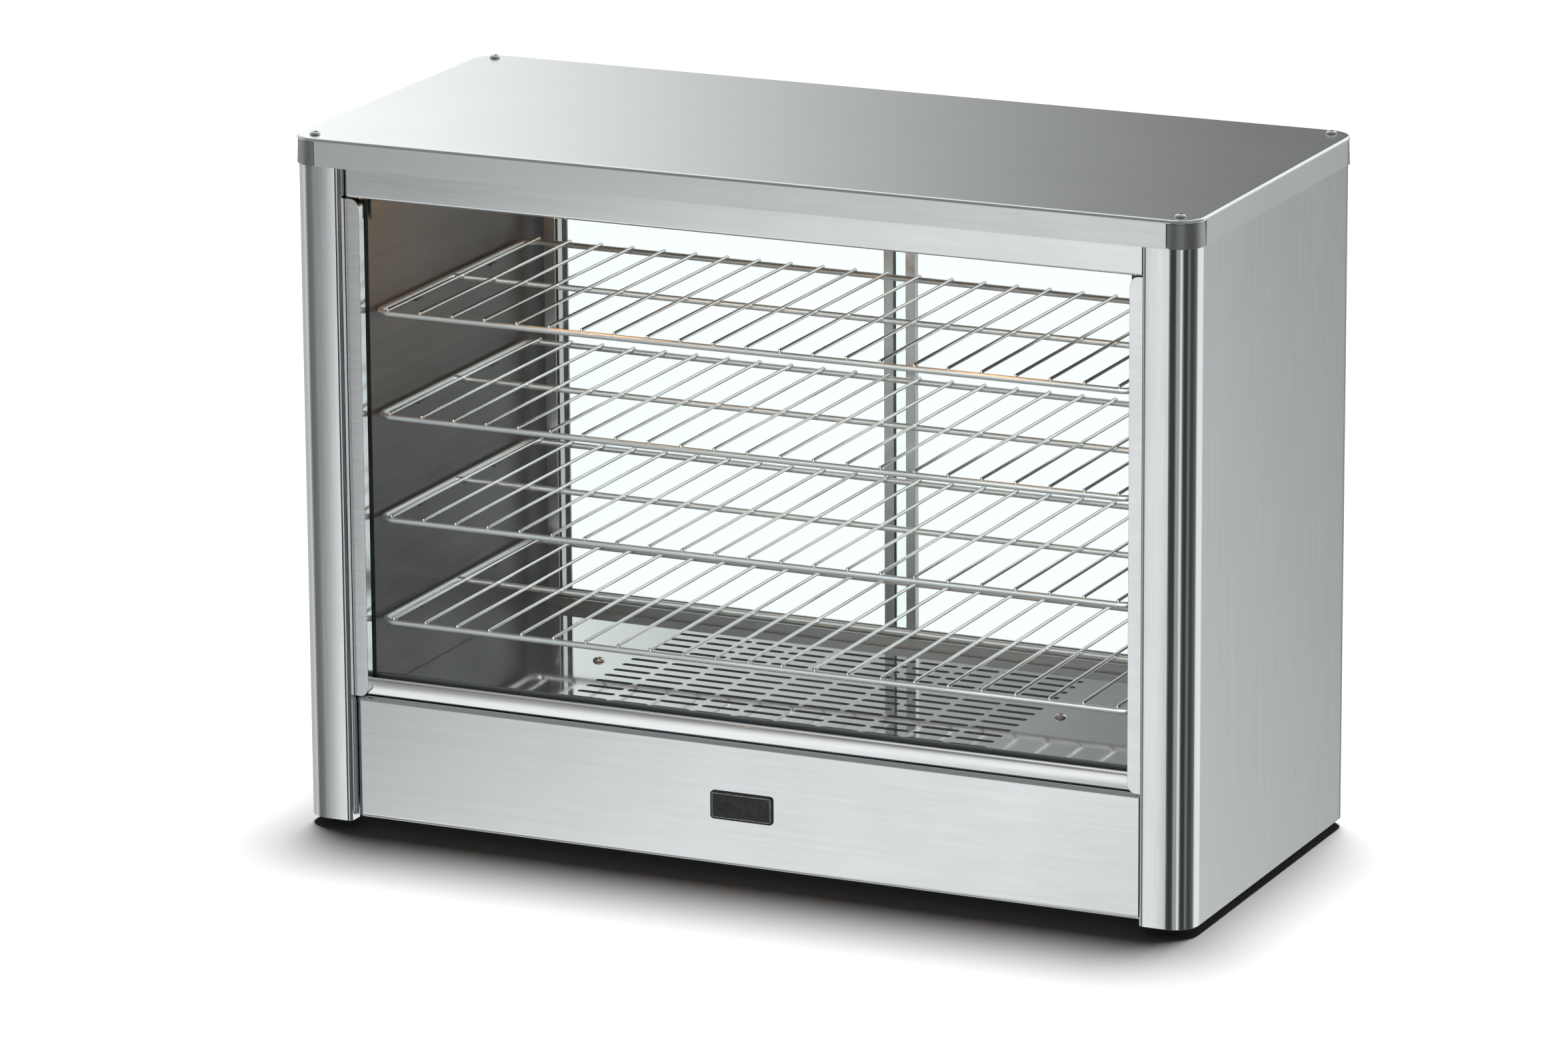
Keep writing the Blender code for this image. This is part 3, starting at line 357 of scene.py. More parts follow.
def glass(name, tint, gloss):
    """A clear sheet: what is behind shows through it unbent, under a faint mirror."""
    recipe = Recipe(name)
    smears = recipe.remap(recipe.noise(6, 3, (1, 1, 0.5)), 0.0, 0.05)
    mirror = recipe.add("ShaderNodeBsdfGlossy", {"Color": (1, 1, 1, 1), "Roughness": smears})
    grazing = recipe.add("ShaderNodeFresnel", {"IOR": 1.45}).outputs["Fac"]
    share = recipe.math("MULTIPLY", grazing, gloss)
    return see_through(recipe, share, tint, mirror.outputs["BSDF"])


def lamp_glass(name):
    """A bulb whose middle glows and whose rim stays clear."""
    recipe = Recipe(name)
    flicker = recipe.remap(recipe.noise(90, 2), 3.0, 5.0)
    glow = recipe.add("ShaderNodeEmission", {"Color": (1.0, 0.50, 0.16, 1), "Strength": flicker})
    rim = recipe.add("ShaderNodeLayerWeight", {"Blend": 0.35}).outputs["Facing"]
    share = recipe.remap(rim, 0, 1, 0.55, 0.15)
    return see_through(recipe, share, (1.0, 0.86, 0.66), glow.outputs["Emission"])


def glowing(name, colour, strength):
    recipe = Recipe(name)
    hot = recipe.remap(recipe.noise(400, 2), strength * 0.7, strength * 1.3)
    recipe.surface(Base_Color=(*colour, 1), Emission_Color=(*colour, 1), Emission_Strength=hot)
    return recipe.owner


# A finish's name is its slot's name, or starts with it and a colon.
FINISHES = {
    "brushed_steel": brushed("brushed_steel", (0.775, 0.81, 0.82), 0.15, "X", 0.035, 0.02, 0.012),
    "brushed_steel:casing": brushed("casing_steel", (0.775, 0.81, 0.82), 0.15, "Z", 0.02, 0.02, 0.006),
    "brushed_steel:lid": brushed("lid_steel", (0.775, 0.81, 0.82), 0.20, "X", 0.02, 0.02, 0.01),
    # The sill rail's steel is a lighter copy of the case steel: its raised tint is painted light.
    "brushed_steel:sill_painted_light": brushed("sill_steel_painted_light", (0.93, 0.95, 0.96), 0.15, "X", 0.035, 0.02, 0.012),
    "cap_steel": brushed("cap_steel", (0.44, 0.46, 0.465), 0.42, "Z", 0.06, 0.05),
    "screw_steel": brushed("screw_steel", (0.66, 0.66, 0.66), 0.14, "none", 0.10, 0.08),
    "liner_steel": brushed("liner_steel", (0.13, 0.135, 0.138), 0.36, "Y", 0.10, 0.10, 0.02, 0.70),
    "deck_steel": brushed("deck_steel", (0.84, 0.85, 0.86), 0.04, "X", 0.02, 0.02, 0.004),
    "chrome_wire": brushed("chrome_wire", (0.80, 0.80, 0.79), 0.12, "X", 0.04, 0.10, 0.01),
    # The frame wire's tint, lighter than the cross wires' chrome, is painted light.
    "chrome_wire:frame_painted_light": brushed("frame_wire", (0.90, 0.91, 0.92), 0.36, "X", 0.04, 0.10, 0.01, 0.95),
    "aluminium": brushed("aluminium", (0.66, 0.67, 0.68), 0.30, "X"),
    "element_steel": brushed("element_steel", (0.13, 0.12, 0.11), 0.45, "none", 0.30, 0.20, 0.05),
    "black_plastic": plastic("black_plastic", (0.018, 0.018, 0.019), 0.38),
    "black_plastic:print": plastic("dial_print", (0.02, 0.02, 0.02), 0.55, 500, 0.02),
    "ceramic:print": plastic("white_print", (0.78, 0.78, 0.77), 0.45, 500, 0.02),
    "badge_black": plastic("badge_black", (0.012, 0.014, 0.014), 0.22, 400, 0.02),
    # The seal's bar is a grey, metal-like copy of the black seal rubber: painted light.
    "rubber:seal_bar_painted_light": brushed("seal_bar_painted_light", (0.33, 0.34, 0.35), 0.45, "X", 0.10, 0.10, 0.02, 0.8),
    "rubber": plastic("rubber", (0.030, 0.030, 0.030), 0.55, 600, 0.3),
    "ceramic": plastic("ceramic", (0.78, 0.76, 0.70), 0.25, 200, 0.05),
    "block_nylon": plastic("block_nylon", (0.66, 0.65, 0.60), 0.45),
    "pilot_amber": plastic("pilot_amber", (0.90, 0.30, 0.03), 0.12, 300, 0.02, Coat_Weight=0.6),
    "front_glass": glass("front_glass", (0.965, 0.985, 0.98), 0.35),
    "door_glass": glass("door_glass", (0.965, 0.985, 0.98), 0.35),
    "front_glass:edge": plastic("glass_edge", (0.10, 0.28, 0.23), 0.15, 200, 0.05),
    "lamp_glass": lamp_glass("lamp_glass"),
    "lamp_glass:filament": glowing("filament", (1.0, 0.45, 0.12), 60.0),
}
SLOT_OF = {part["node"]: part["material_slot"] for part in frame["record"]["subparts"]}


# Mesh helpers.
def mesh_from(work, name="piece"):
    mesh = bpy.data.meshes.new(name)
    work.to_mesh(mesh)
    work.free()
    return mesh


def add_mesh(name, mesh, finish=None):
    mesh.name = name
    if finish:
        mesh.materials.append(FINISHES[finish])
    piece = bpy.data.objects.new(name, mesh)
    bpy.context.scene.collection.objects.link(piece)
    return piece


def settle(piece, body="cabinet", nodes=()):
    """Every piece rides on a body and stands for CAD nodes."""
    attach(piece, body)
    if nodes:
        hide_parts(*nodes)
    return piece


def shade_round(piece, angle=35):
    piece.data.shade_smooth()
    piece.data.set_sharp_from_angle(angle=math.radians(angle))
    return piece


def ease_edges(piece, width, segments=2, angle=50):
    """A small rounding on the sharp edges, with the flat faces kept flat in shading."""
    rounding = piece.modifiers.new("Bevel", "BEVEL")
    rounding.width = width
    rounding.segments = segments
    rounding.limit_method = "ANGLE"
    rounding.angle_limit = math.radians(angle)
    rounding.use_clamp_overlap = True
    piece.data.shade_smooth()
    flat = piece.modifiers.new("WeightedNormal", "WEIGHTED_NORMAL")
    flat.keep_sharp = True
    return piece


def welded(node):
    """A node's shape as a fresh mesh, with its facets joined."""
    work = bmesh.new()
    work.from_mesh(frame["nodes"][node].data)
    bmesh.ops.remove_doubles(work, verts=work.verts, dist=WELD)
    bmesh.ops.dissolve_limit(work, angle_limit=math.radians(0.5), verts=work.verts, edges=work.edges)
    bmesh.ops.recalc_face_normals(work, faces=work.faces)
    for face in work.faces:
        face.smooth = True
    for edge in work.edges:
        edge.smooth = True
    return work


def skin(node, width=0.0004, finish=None):
    """The node's own shape with round stretches shaded round and its edges eased."""
    finish = finish or SLOT_OF[node]
    piece = add_mesh(node + "_skin", mesh_from(welded(node)), finish)
    ease_edges(piece, width)
    return settle(piece, frame["nodes"][node]["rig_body"], [node])


AXIS_TURNS = {
    "Z": Matrix(),
    "Y": Matrix.Rotation(-math.pi / 2, 4, "X"),
    "X": Matrix.Rotation(math.pi / 2, 4, "Y"),
    "-X": Matrix.Rotation(-math.pi / 2, 4, "Y"),
}


def turned(name, profile, at, finish, axis="Z", steps=40, wave=None):
    """A turned shape from (radius, height) points, run from the axis round to the axis again.

    wave gives a share by which the radius changes with the angle and the height, for flutes."""
    work = bmesh.new()
    rings = []
    for radius, height in profile:
        if radius < 1e-7:
            rings.append([work.verts.new((0, 0, height))])
            continue
        ring = []
        for step in range(steps):
            angle = math.tau * step / steps
            reach = radius * (wave(angle, height) if wave else 1)
            ring.append(work.verts.new((reach * math.cos(angle), reach * math.sin(angle), height)))
        rings.append(ring)
    for lower, upper in zip(rings, rings[1:]):
        for step in range(steps):
            ahead = (step + 1) % steps
            corners = [lower[step % len(lower)], lower[ahead % len(lower)],
                       upper[ahead % len(upper)], upper[step % len(upper)]]
            corners = [v for i, v in enumerate(corners) if v not in corners[:i]]
            if len(corners) > 2:
                work.faces.new(corners)
    bmesh.ops.recalc_face_normals(work, faces=work.faces)
    work.transform(Matrix.Translation(at) @ AXIS_TURNS[axis])
    return shade_round(add_mesh(name, mesh_from(work), finish))


def blocks(name, spans, finish, turn=None):
    """One mesh of separate blocks, each given by its lowest and highest corner."""
    work = bmesh.new()
    for low, high in spans:
        low, high = Vector(low), Vector(high)
        size = Matrix.Diagonal((*(high - low), 1))
        bmesh.ops.create_cube(work, size=1, matrix=Matrix.Translation((low + high) / 2) @ size)
    if turn:
        work.transform(turn)
    return add_mesh(name, mesh_from(work), finish)


def cut(piece, cutter):
    """Takes the cutter's shape out of the piece, for good, and removes the cutter."""
    taken = piece.modifiers.new("Cut", "BOOLEAN")
    taken.object = cutter
    taken.solver = "EXACT"
    graph = bpy.context.evaluated_depsgraph_get()
    mesh = bpy.data.meshes.new_from_object(piece.evaluated_get(graph))
    piece.modifiers.clear()
    piece.data = mesh
    bpy.data.objects.remove(cutter)
    return piece


def wire_curve(name, runs, radius, finish, resolution=3):
    """One curve object of several wires; a run is (points with their thickness, closed)."""
    line = bpy.data.curves.new(name, "CURVE")
    line.dimensions = "3D"
    line.bevel_depth = radius
    line.bevel_resolution = resolution
    line.use_fill_caps = True
    for points, closed in runs:
        spline = line.splines.new("POLY")
        spline.points.add(len(points) - 1)
        for point, (at, thick) in zip(spline.points, points):
            point.co = (*at, 1)
            point.radius = thick
        spline.use_cyclic_u = closed
        spline.use_smooth = True
    line.materials.append(FINISHES[finish])
    piece = bpy.data.objects.new(name, line)
    bpy.context.scene.collection.objects.link(piece)
    return piece


def arc(centre, radius, start, stop, steps):
    """Points of a flat arc, with its angles in degrees."""
    angles = [math.radians(start + (stop - start) * step / steps) for step in range(steps + 1)]
    return [Vector((centre[0] + radius * math.cos(a), centre[1] + radius * math.sin(a))) for a in angles]


# Wire shelves.
def rounded_loop(low, high, radius, z, steps=7):
    """A level rectangle with round corners, as points."""
    points = []
    corners = ((high.x, high.y, 0), (low.x, high.y, 90), (low.x, low.y, 180), (high.x, low.y, 270))
    for x, y, start in corners:
        middle = (x - math.copysign(radius, x), y - math.copysign(radius, y - (low.y + high.y) / 2))
        points += [Vector((*point, z)) for point in arc(middle, radius, start, start + 90, steps)]
    return points


def make_shelf(number):
    """A round-cornered frame wire, one wire along the middle, and cross wires welded on top."""
    node = f"shelf_{number}"
    low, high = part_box(node)
    z = low.z + FRAME_RADIUS
    inner_low = low + Vector((FRAME_RADIUS, FRAME_RADIUS, 0))
    inner_high = high - Vector((FRAME_RADIUS, FRAME_RADIUS, 0))
    loop = [(point, 1) for point in rounded_loop(inner_low, inner_high, FRAME_CORNER, z)]
    centre_y = (low.y + high.y) / 2
    keel = [((inner_low.x, centre_y, z), 1), ((inner_high.x, centre_y, z), 1)]
    runs = [(loop, True), (keel, False)]
    # The frame wire takes the lighter copy of the chrome, which is painted light.
    rim = wire_curve(f"{node}_frame_wires", runs, FRAME_RADIUS, "chrome_wire:frame_painted_light", 4)
    settle(rim, nodes=[node])
    rise = z + FRAME_RADIUS + CROSS_RADIUS - 0.0006
    runs = []
    for index in range(CROSS_WIRES):
        x = (index - (CROSS_WIRES - 1) / 2) * CROSS_PITCH
        ends = []
        for y, way in ((low.y + 0.0012, 1), (high.y - 0.0012, -1)):
            tip = [((x, y + way * along * CROSS_RADIUS, rise), thick)
                   for along, thick in ((0, 0.25), (0.12, 0.6), (0.4, 0.87), (1.0, 1.0))]
            ends.append(tip)
        runs.append((ends[0] + ends[1][::-1], False))
    rods = wire_curve(f"{node}_cross_wires", runs, CROSS_RADIUS, "chrome_wire", 3)
    settle(rods)


# Lid and casing.
def make_corner_cap(x, side, y, end):
    """A pressed cap: it leans in towards its top, and its lower corners are round."""
    node = f"corner_cap_{end}_{side}"
    low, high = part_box(node)
    edge = Vector((max(abs(low.x), abs(high.x)), max(abs(low.y), abs(high.y))))
    wing = Vector((high.x - low.x, high.y - low.y))
    round_part = arc((edge.x - CASE_CORNER, edge.y - CASE_CORNER), CASE_CORNER, 90, 0, 20)
    front_start = Vector((edge.x - wing.x, edge.y))
    side_stop = Vector((edge.x, edge.y - wing.y))
    path = [front_start, front_start.lerp(round_part[0], 0.5)] + round_part
    path += [side_stop.lerp(round_part[-1], 0.5), side_stop]
    rounded = [(0.0, 1.0), (0.15, 0.47), (0.45, 0.11), (1.0, 0.0)]
    reach = [along * CAP_FOOT_RADIUS for along, _ in rounded]
    front_run = [front_start + Vector((1, 0)) * min(far, wing.x * 0.9) for far in reach]
    side_run = [side_stop + Vector((0, 1)) * min(far, wing.y * 0.9) for far in reach]
    path = [p for p in path[1:-1]
            if min((p - front_start).length, (p - side_stop).length) > reach[-1]]
    path = front_run + path + side_run[::-1]
    lift = [rise * CAP_FOOT_RADIUS for _, rise in rounded]
    lifts = lift + [0.0] * (len(path) - 2 * len(lift)) + lift[::-1]
    middle = edge - Vector((CASE_CORNER, CASE_CORNER))
    work = bmesh.new()
    rows = []
    for share in (0.0, 0.25, 0.6, 1.0):
        row = []
        for point, foot in zip(path, lifts):
            z = low.z + foot + (high.z - low.z - foot) * share
            lean = CAP_LEAN * (z - low.z) / (high.z - low.z)
            outward = Vector((max(point.x - middle.x, 0), max(point.y - middle.y, 0))).normalized()
            spot = point - outward * lean
            row.append(work.verts.new((x * spot.x, y * spot.y, z)))
        rows.append(row)
    for lower, upper in zip(rows, rows[1:]):
        for index in range(len(path) - 1):
            work.faces.new((lower[index], lower[index + 1], upper[index + 1], upper[index]))
    bmesh.ops.recalc_face_normals(work, faces=work.faces)
    work.faces.ensure_lookup_table()
    outer = work.faces[len(work.faces) // 2]
    if outer.normal.x * x + outer.normal.y * y < 0:
        bmesh.ops.reverse_faces(work, faces=work.faces)
    cap = shade_round(add_mesh(node + "_skin", mesh_from(work), "cap_steel"), 50)
    thick = cap.modifiers.new("Solidify", "SOLIDIFY")
    thick.thickness = SHEET
    thick.offset = -1
    ease_edges(cap, 0.0003, 2, 60)
    settle(cap, nodes=[node])


def make_screw(node):
    """A domed head with a cross recess, on its shank."""
    low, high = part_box(node)
    centre = (low + high) / 2
    radius = (high.x - low.x) / 2
    rise = HEAD_RISE * radius
    base = high.z - rise
    shank = radius * LID_SHANK_SHARE
    profile = [(0, rise), (0.30 * radius, 0.97 * rise), (0.55 * radius, 0.86 * rise),
               (0.76 * radius, 0.66 * rise), (0.91 * radius, 0.38 * rise), (radius, 0.10 * rise),
               (radius, 0), (shank, 0),
               (shank, low.z - base), (0, low.z - base)]
    head = turned(node + "_skin", profile, (centre.x, centre.y, base), "screw_steel")
    half, long = (share * radius / 2 for share in CROSS_ARM)
    deep = rise * CROSS_DEPTH
    turn = Matrix.Translation((centre.x, centre.y, high.z)) @ Matrix.Rotation(math.radians(35), 4, "Z")
    arms = [((-half, -long, -deep), (half, long, rise)), ((-long, -half, -deep), (long, half, rise))]
    for index, arm in enumerate(arms):
        cut(head, blocks(f"recess_{index}", [arm], None, turn))
    shade_round(head, 40)
    settle(head, nodes=[node])


def make_badge():
    """A blank gloss plate with a thin pale frame line inset from its edge."""
    skin("badge_plate", 0.0003)
    low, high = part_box("badge_plate")
    inset, line = BADGE_LINE_INSET, BADGE_LINE_WIDTH
    outer = (low.x + inset, low.z + inset), (high.x - inset, high.z - inset)
    inner = (outer[0][0] + line, outer[0][1] + line), (outer[1][0] - line, outer[1][1] - line)
    work = bmesh.new()
    rings = []
    corner = BADGE_LINE_CORNER
    for (x0, z0), (x1, z1), radius in ((*outer, corner), (*inner, corner - line)):
        ring = []
        for x, z, start in ((x1, z1, 0), (x0, z1, 90), (x0, z0, 180), (x1, z0, 270)):
            middle = (x - math.copysign(radius, x), z - math.copysign(radius, z - (z0 + z1) / 2))
            bend = arc(middle, radius, start, start + 90, 5)
            ring += [work.verts.new((p.x, low.y - PRINT, p.y)) for p in bend]
        rings.append(ring)
    count = len(rings[0])
    for index in range(count):
        ahead = (index + 1) % count
        work.faces.new((rings[0][index], rings[0][ahead], rings[1][ahead], rings[1][index]))
    bmesh.ops.recalc_face_normals(work, faces=work.faces)
    raised = bmesh.ops.extrude_face_region(work, geom=list(work.faces))["geom"]
    bmesh.ops.translate(work, verts=[v for v in raised if isinstance(v, bmesh.types.BMVert)],
                        vec=(0, 2 * PRINT, 0))
    bmesh.ops.recalc_face_normals(work, faces=work.faces)
    settle(add_mesh("badge_frame_line", mesh_from(work), "ceramic:print"))


def make_sill():
    """The rail at the window's foot, whose ends run on behind the strips' round corners."""
    # The rail takes the lighter copy of the steel, which is painted light.
    sill = skin("glass_sill_rail", finish="brushed_steel:sill_painted_light")
    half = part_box("glass_sill_rail")[1].x
    for vertex in sill.data.vertices:
        if abs(vertex.co.x) > half - WELD:
            vertex.co.x += math.copysign(SILL_RUN_ON, vertex.co.x)


def make_glass(node):
    """A clear sheet whose ground edges show green."""
    sheet = skin(node, 0.0005)
    sheet.data.materials.append(FINISHES["front_glass:edge"])
    for face in sheet.data.polygons:
        if abs(face.normal.y) < 0.5:
            face.material_index = 1


def make_seal():
    """The strip behind the glass, all one black rubber: its bar over the sill is grey, a lighter
    metal-like copy that is painted light, and its legs up the sides are black.
    """
    seal = skin("glass_seal", 0.0002, "rubber:seal_bar_painted_light")
    seal.data.materials.append(FINISHES["rubber"])
    # Faces above the bar take the black rubber; the bar keeps the painted light copy.
    bar_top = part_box("glass_sill_rail")[1].z + SEAL_BAR_RISE
    for face in seal.data.polygons:
        if face.center.z > bar_top:
            face.material_index = 1


# Deck.
def make_deck():
    """The slotted plate with round slot ends, and the folded edges at its front and rear."""
    low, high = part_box("floor_deck")
    flat = bpy.data.curves.new("deck_outline", "CURVE")
    flat.dimensions = "2D"
    flat.fill_mode = "BOTH"
    flat.extrude = SHEET / 2
    front, rear = low.y + DECK_BEND, high.y - DECK_BEND

    def outline(points):
        spline = flat.splines.new("POLY")
        spline.points.add(len(points) - 1)
        for point, (x, y) in zip(spline.points, points):
            point.co = (x, y, 0, 1)
        spline.use_cyclic_u = True

    outline([(low.x, front), (high.x, front), (high.x, rear), (low.x, rear)])
    length, width = SLOT_SIZE
    end = width / 2
    for column in range(SLOT_COLUMNS):
        for row in range(SLOT_ROWS):
            x = (column - (SLOT_COLUMNS - 1) / 2) * SLOT_PITCH[0]
            y = (row - (SLOT_ROWS - 1) / 2) * SLOT_PITCH[1] + SLOT_FIELD_Y
            reach = length / 2 - end
            outline(arc((x + reach, y), end, -90, 90, 6) + arc((x - reach, y), end, 90, 270, 6))
    for side in ("left", "right"):
        screw_low, screw_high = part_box(f"deck_screw_{side}")
        middle = (screw_low + screw_high) / 2
        outline(arc((middle.x, middle.y), DECK_SCREW_HOLE, 0, 345, 23))
    source = bpy.data.objects.new("deck_outline", flat)
    bpy.context.scene.collection.objects.link(source)
    graph = bpy.context.evaluated_depsgraph_get()
    mesh = bpy.data.meshes.new_from_object(source.evaluated_get(graph))
    bpy.data.objects.remove(source)
    work = bmesh.new()
    work.from_mesh(mesh)
    bmesh.ops.remove_doubles(work, verts=work.verts, dist=1e-6)
    bmesh.ops.translate(work, verts=work.verts, vec=(0, 0, high.z - SHEET / 2))
    plate = add_mesh("deck_plate", mesh_from(work), "deck_steel")
    plate.data.shade_flat()
    settle(plate, nodes=["floor_deck"])
    for name, y, way in (("deck_front_fold", low.y, 1), ("deck_rear_fold", high.y, -1)):
        outer = [(0, low.z)] + [(DECK_BEND - p.x, high.z - DECK_BEND + p.y) for p in
                                arc((0, 0), DECK_BEND, 0, 90, 5)]
        inner = [(SHEET, low.z)] + [(DECK_BEND - p.x, high.z - DECK_BEND + p.y) for p in
                                    arc((0, 0), DECK_BEND - SHEET, 0, 90, 5)]
        section = outer + inner[::-1]
        work = bmesh.new()
        ends = [[work.verts.new((x, y + way * u, z)) for u, z in section] for x in (low.x, high.x)]
        count = len(section)
        for index in range(count):
            ahead = (index + 1) % count
            work.faces.new((ends[0][index], ends[0][ahead], ends[1][ahead], ends[1][index]))
        half = count // 2
        for line in ends:
            for index in range(half - 1):
                work.faces.new((line[index], line[index + 1],
                                line[count - 2 - index], line[count - 1 - index]))
        bmesh.ops.recalc_face_normals(work, faces=work.faces)
        fold = shade_round(add_mesh(name, mesh_from(work), "deck_steel"), 40)
        settle(fold)


# Lamps.
def make_lamp(side, x):
    """A tubular bulb with a coiled filament, in a ribbed ceramic holder."""
    axis = "X" if x < 0 else "-X"
    bulb_low, bulb_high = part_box(f"lamp_{side}")
    centre = (bulb_low + bulb_high) / 2
    length, radius = bulb_high.x - bulb_low.x, (bulb_high.z - bulb_low.z) / 2
    base = Vector((bulb_low.x if x < 0 else bulb_high.x, centre.y, centre.z))
    neck = 0.55 * radius
    nose = [(radius * math.sin(math.radians(a)), length - radius * (1 - math.cos(math.radians(a))))
            for a in range(0, 91, 10)]
    profile = nose + [(radius, 0.34 * length), (0.96 * radius, 0.28 * length),
                      (0.78 * radius, 0.21 * length), (neck, 0.15 * length), (neck, 0), (0, 0)]
    bulb = turned(f"lamp_{side}_glass", profile, base, "lamp_glass", axis)
    settle(bulb, nodes=[f"lamp_{side}"])
    way = 1 if x < 0 else -1
    coil = []
    for step in range(FILAMENT_TURNS * 12 + 1):
        angle = math.tau * step / 12
        along = 0.40 + 0.36 * step / (FILAMENT_TURNS * 12)
        across, up = COIL_RADIUS * math.cos(angle), COIL_RADIUS * math.sin(angle)
        coil.append((base + Vector((way * along * length, across, up)), 1))
    legs = [[(base + Vector((way * share * length, 0, 0)), 1) for share in (0.16, 0.30)] + coil[:1]]
    strands = [(coil, False)] + [(leg, False) for leg in legs]
    filament = wire_curve(f"lamp_{side}_filament", strands, FILAMENT_RADIUS, "lamp_glass:filament", 2)
    settle(filament)
    low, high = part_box(f"lamp_holder_{side}")
    deep, outer = high.x - low.x, (high.z - low.z) / 2
    foot = Vector((low.x if x < 0 else high.x, centre.y, centre.z))
    ribs = [(0, deep), (0.52 * outer, deep), (0.60 * outer, 0.90 * deep), (0.86 * outer, 0.86 * deep)]
    for index in range(4):
        top = 0.80 - 0.17 * index
        ribs += [(0.98 * outer, top * deep), (outer, (top - 0.03) * deep), (outer, (top - 0.08) * deep),
                 (0.90 * outer, (top - 0.11) * deep)]
    ribs += [(outer, 0.10 * deep), (0.80 * outer, 0), (0, 0)]
    holder = turned(f"lamp_holder_{side}_skin", ribs, foot, "ceramic", axis)
    settle(holder, nodes=[f"lamp_holder_{side}"])


# Back.
def on_panel(x, z):
    """A spot on the face of the rear control panel."""
    return Vector((x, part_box("rear_control_panel")[1].y, z))


def make_knob():
    """A fluted skirt, a raised grip bar across the face and a white pointer line."""
    low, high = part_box("thermostat_knob")
    centre = (low + high) / 2
    radius, height = (high.x - low.x) / 2, high.y - low.y
    spot = (centre.x, low.y, centre.z)

    def flutes(angle, at):
        on_skirt = 0.25 * height < at < 0.8 * height
        return 1 - 0.035 * (0.5 - 0.5 * math.cos(KNOB_FLUTES * angle)) * on_skirt

    profile = [(0, 0.72 * height), (0.70 * radius, 0.70 * height), (0.80 * radius, 0.68 * height),
               (0.84 * radius, 0.62 * height), (0.885 * radius, 0.50 * height),
               (0.92 * radius, 0.28 * height), (0.93 * radius, 0.22 * height),
               (radius, 0.17 * height), (radius, 0.02 * height),
               (0.97 * radius, 0), (0, 0)]
    knob = turned("thermostat_knob_body", profile, spot, "black_plastic", "Y", KNOB_FLUTES * 6, flutes)
    settle(knob, "knob", ["thermostat_knob"])
    half, reach = GRIP_HALF_WIDTH, 0.80 * radius
    span = ((centre.x - half, low.y + 0.60 * height, centre.z - reach),
            (centre.x + half, high.y, centre.z + reach))
    grip = blocks("thermostat_knob_grip", [span], "black_plastic")
    ease_edges(grip, 0.0014, 4)
    settle(grip, "knob")
    span = ((centre.x - 0.0005, high.y - 0.0005, centre.z + 0.25 * radius),
            (centre.x + 0.0005, high.y + PRINT, centre.z + 0.70 * radius))
    line = blocks("thermostat_knob_pointer", [span], "ceramic:print")
    ease_edges(line, 0.00005, 1)
    settle(line, "knob")
    return centre


def make_dial(centre):
    """Printed ticks round the knob, and a number at each."""
    face = on_panel(centre.x, centre.z).y
    inner, outer = DIAL_RADIUS
    for index in range(DIAL_TICKS):
        angle = math.radians(DIAL_SWEEP * index / (DIAL_TICKS - 1))
        middle = Matrix.Translation((centre.x, face, centre.z))
        spin = middle @ Matrix.Rotation(-angle, 4, "Y")
        tick = blocks(f"dial_tick_{index}", [((-0.0003, -PRINT, inner), (0.0003, PRINT, outer))],
                      "black_plastic:print", spin)
        ease_edges(tick, 0.00004, 1)
        settle(tick)
        letters = bpy.data.curves.new(f"dial_number_{index}", "FONT")
        letters.body = str(index)
        letters.size = DIAL_NUMBER_SIZE
        letters.extrude = PRINT
        letters.align_x = letters.align_y = "CENTER"
        letters.materials.append(FINISHES["black_plastic:print"])
        number = bpy.data.objects.new(f"dial_number_{index}", letters)
        bpy.context.scene.collection.objects.link(number)
        reach = outer + DIAL_NUMBER_GAP
        place = (centre.x - reach * math.sin(angle), face, centre.z + reach * math.cos(angle))
        number.matrix_world = Matrix.Translation(place) @ Matrix.Rotation(math.pi, 4, "Z") \
            @ Matrix.Rotation(math.pi / 2, 4, "X")
        settle(number)


def make_switch():
    """The bezel, and the rocker with a bar mark at its top and a ring mark at its bottom."""
    skin("power_switch_bezel", 0.0006)
    skin("power_rocker", 0.0007)
    low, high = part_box("power_rocker")
    shape = welded("power_rocker")
    faces = sorted((f for f in shape.faces if f.normal.y > 0.8), key=lambda f: f.calc_center_median().z)
    places = [(f.calc_center_median(), f.normal.copy()) for f in (faces[0], faces[-1])]
    shape.free()
    x = (low.x + high.x) / 2
    for name, (spot, normal) in zip(("ring", "bar"), places):
        tilt = normal.to_track_quat("Z", "Y").to_matrix().to_4x4()
        turn = Matrix.Translation((x, spot.y, spot.z)) @ tilt
        if name == "bar":
            mark = blocks("rocker_bar_mark", [((-0.0004, -0.0018, -PRINT), (0.0004, 0.0018, PRINT))],
                          "ceramic:print", turn)
        else:
            loop = [((turn @ Vector((0.0017 * math.cos(a), 0.0017 * math.sin(a), 0))), 1)
                    for a in (math.tau * step / 24 for step in range(24))]
            mark = wire_curve("rocker_ring_mark", [(loop, True)], 0.00028, "ceramic:print", 1)
        settle(mark, "rocker")


def make_pilot():
    """A domed lens on a plain skirt."""
    low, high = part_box("pilot_lamp")
    centre = (low + high) / 2
    radius, face = (high.x - low.x) / 2, on_panel(0, 0).y
    stem, dome = 0.75 * radius, high.y - face
    crown = ((0, 1.0), (0.35, 0.96), (0.60, 0.86), (0.82, 0.66), (0.95, 0.42), (1.0, 0.30))
    profile = [(share * stem, dome * rise) for share, rise in crown]
    profile += [(0.96 * radius, 0.24 * dome), (radius, 0.16 * dome), (radius, 0.0003), (stem, 0.0003),
                (stem, low.y - face), (0, low.y - face)]
    lens = turned("pilot_lens", profile, (centre.x, face, centre.z), "pilot_amber", "Y", 48)
    settle(lens, nodes=["pilot_lamp"])


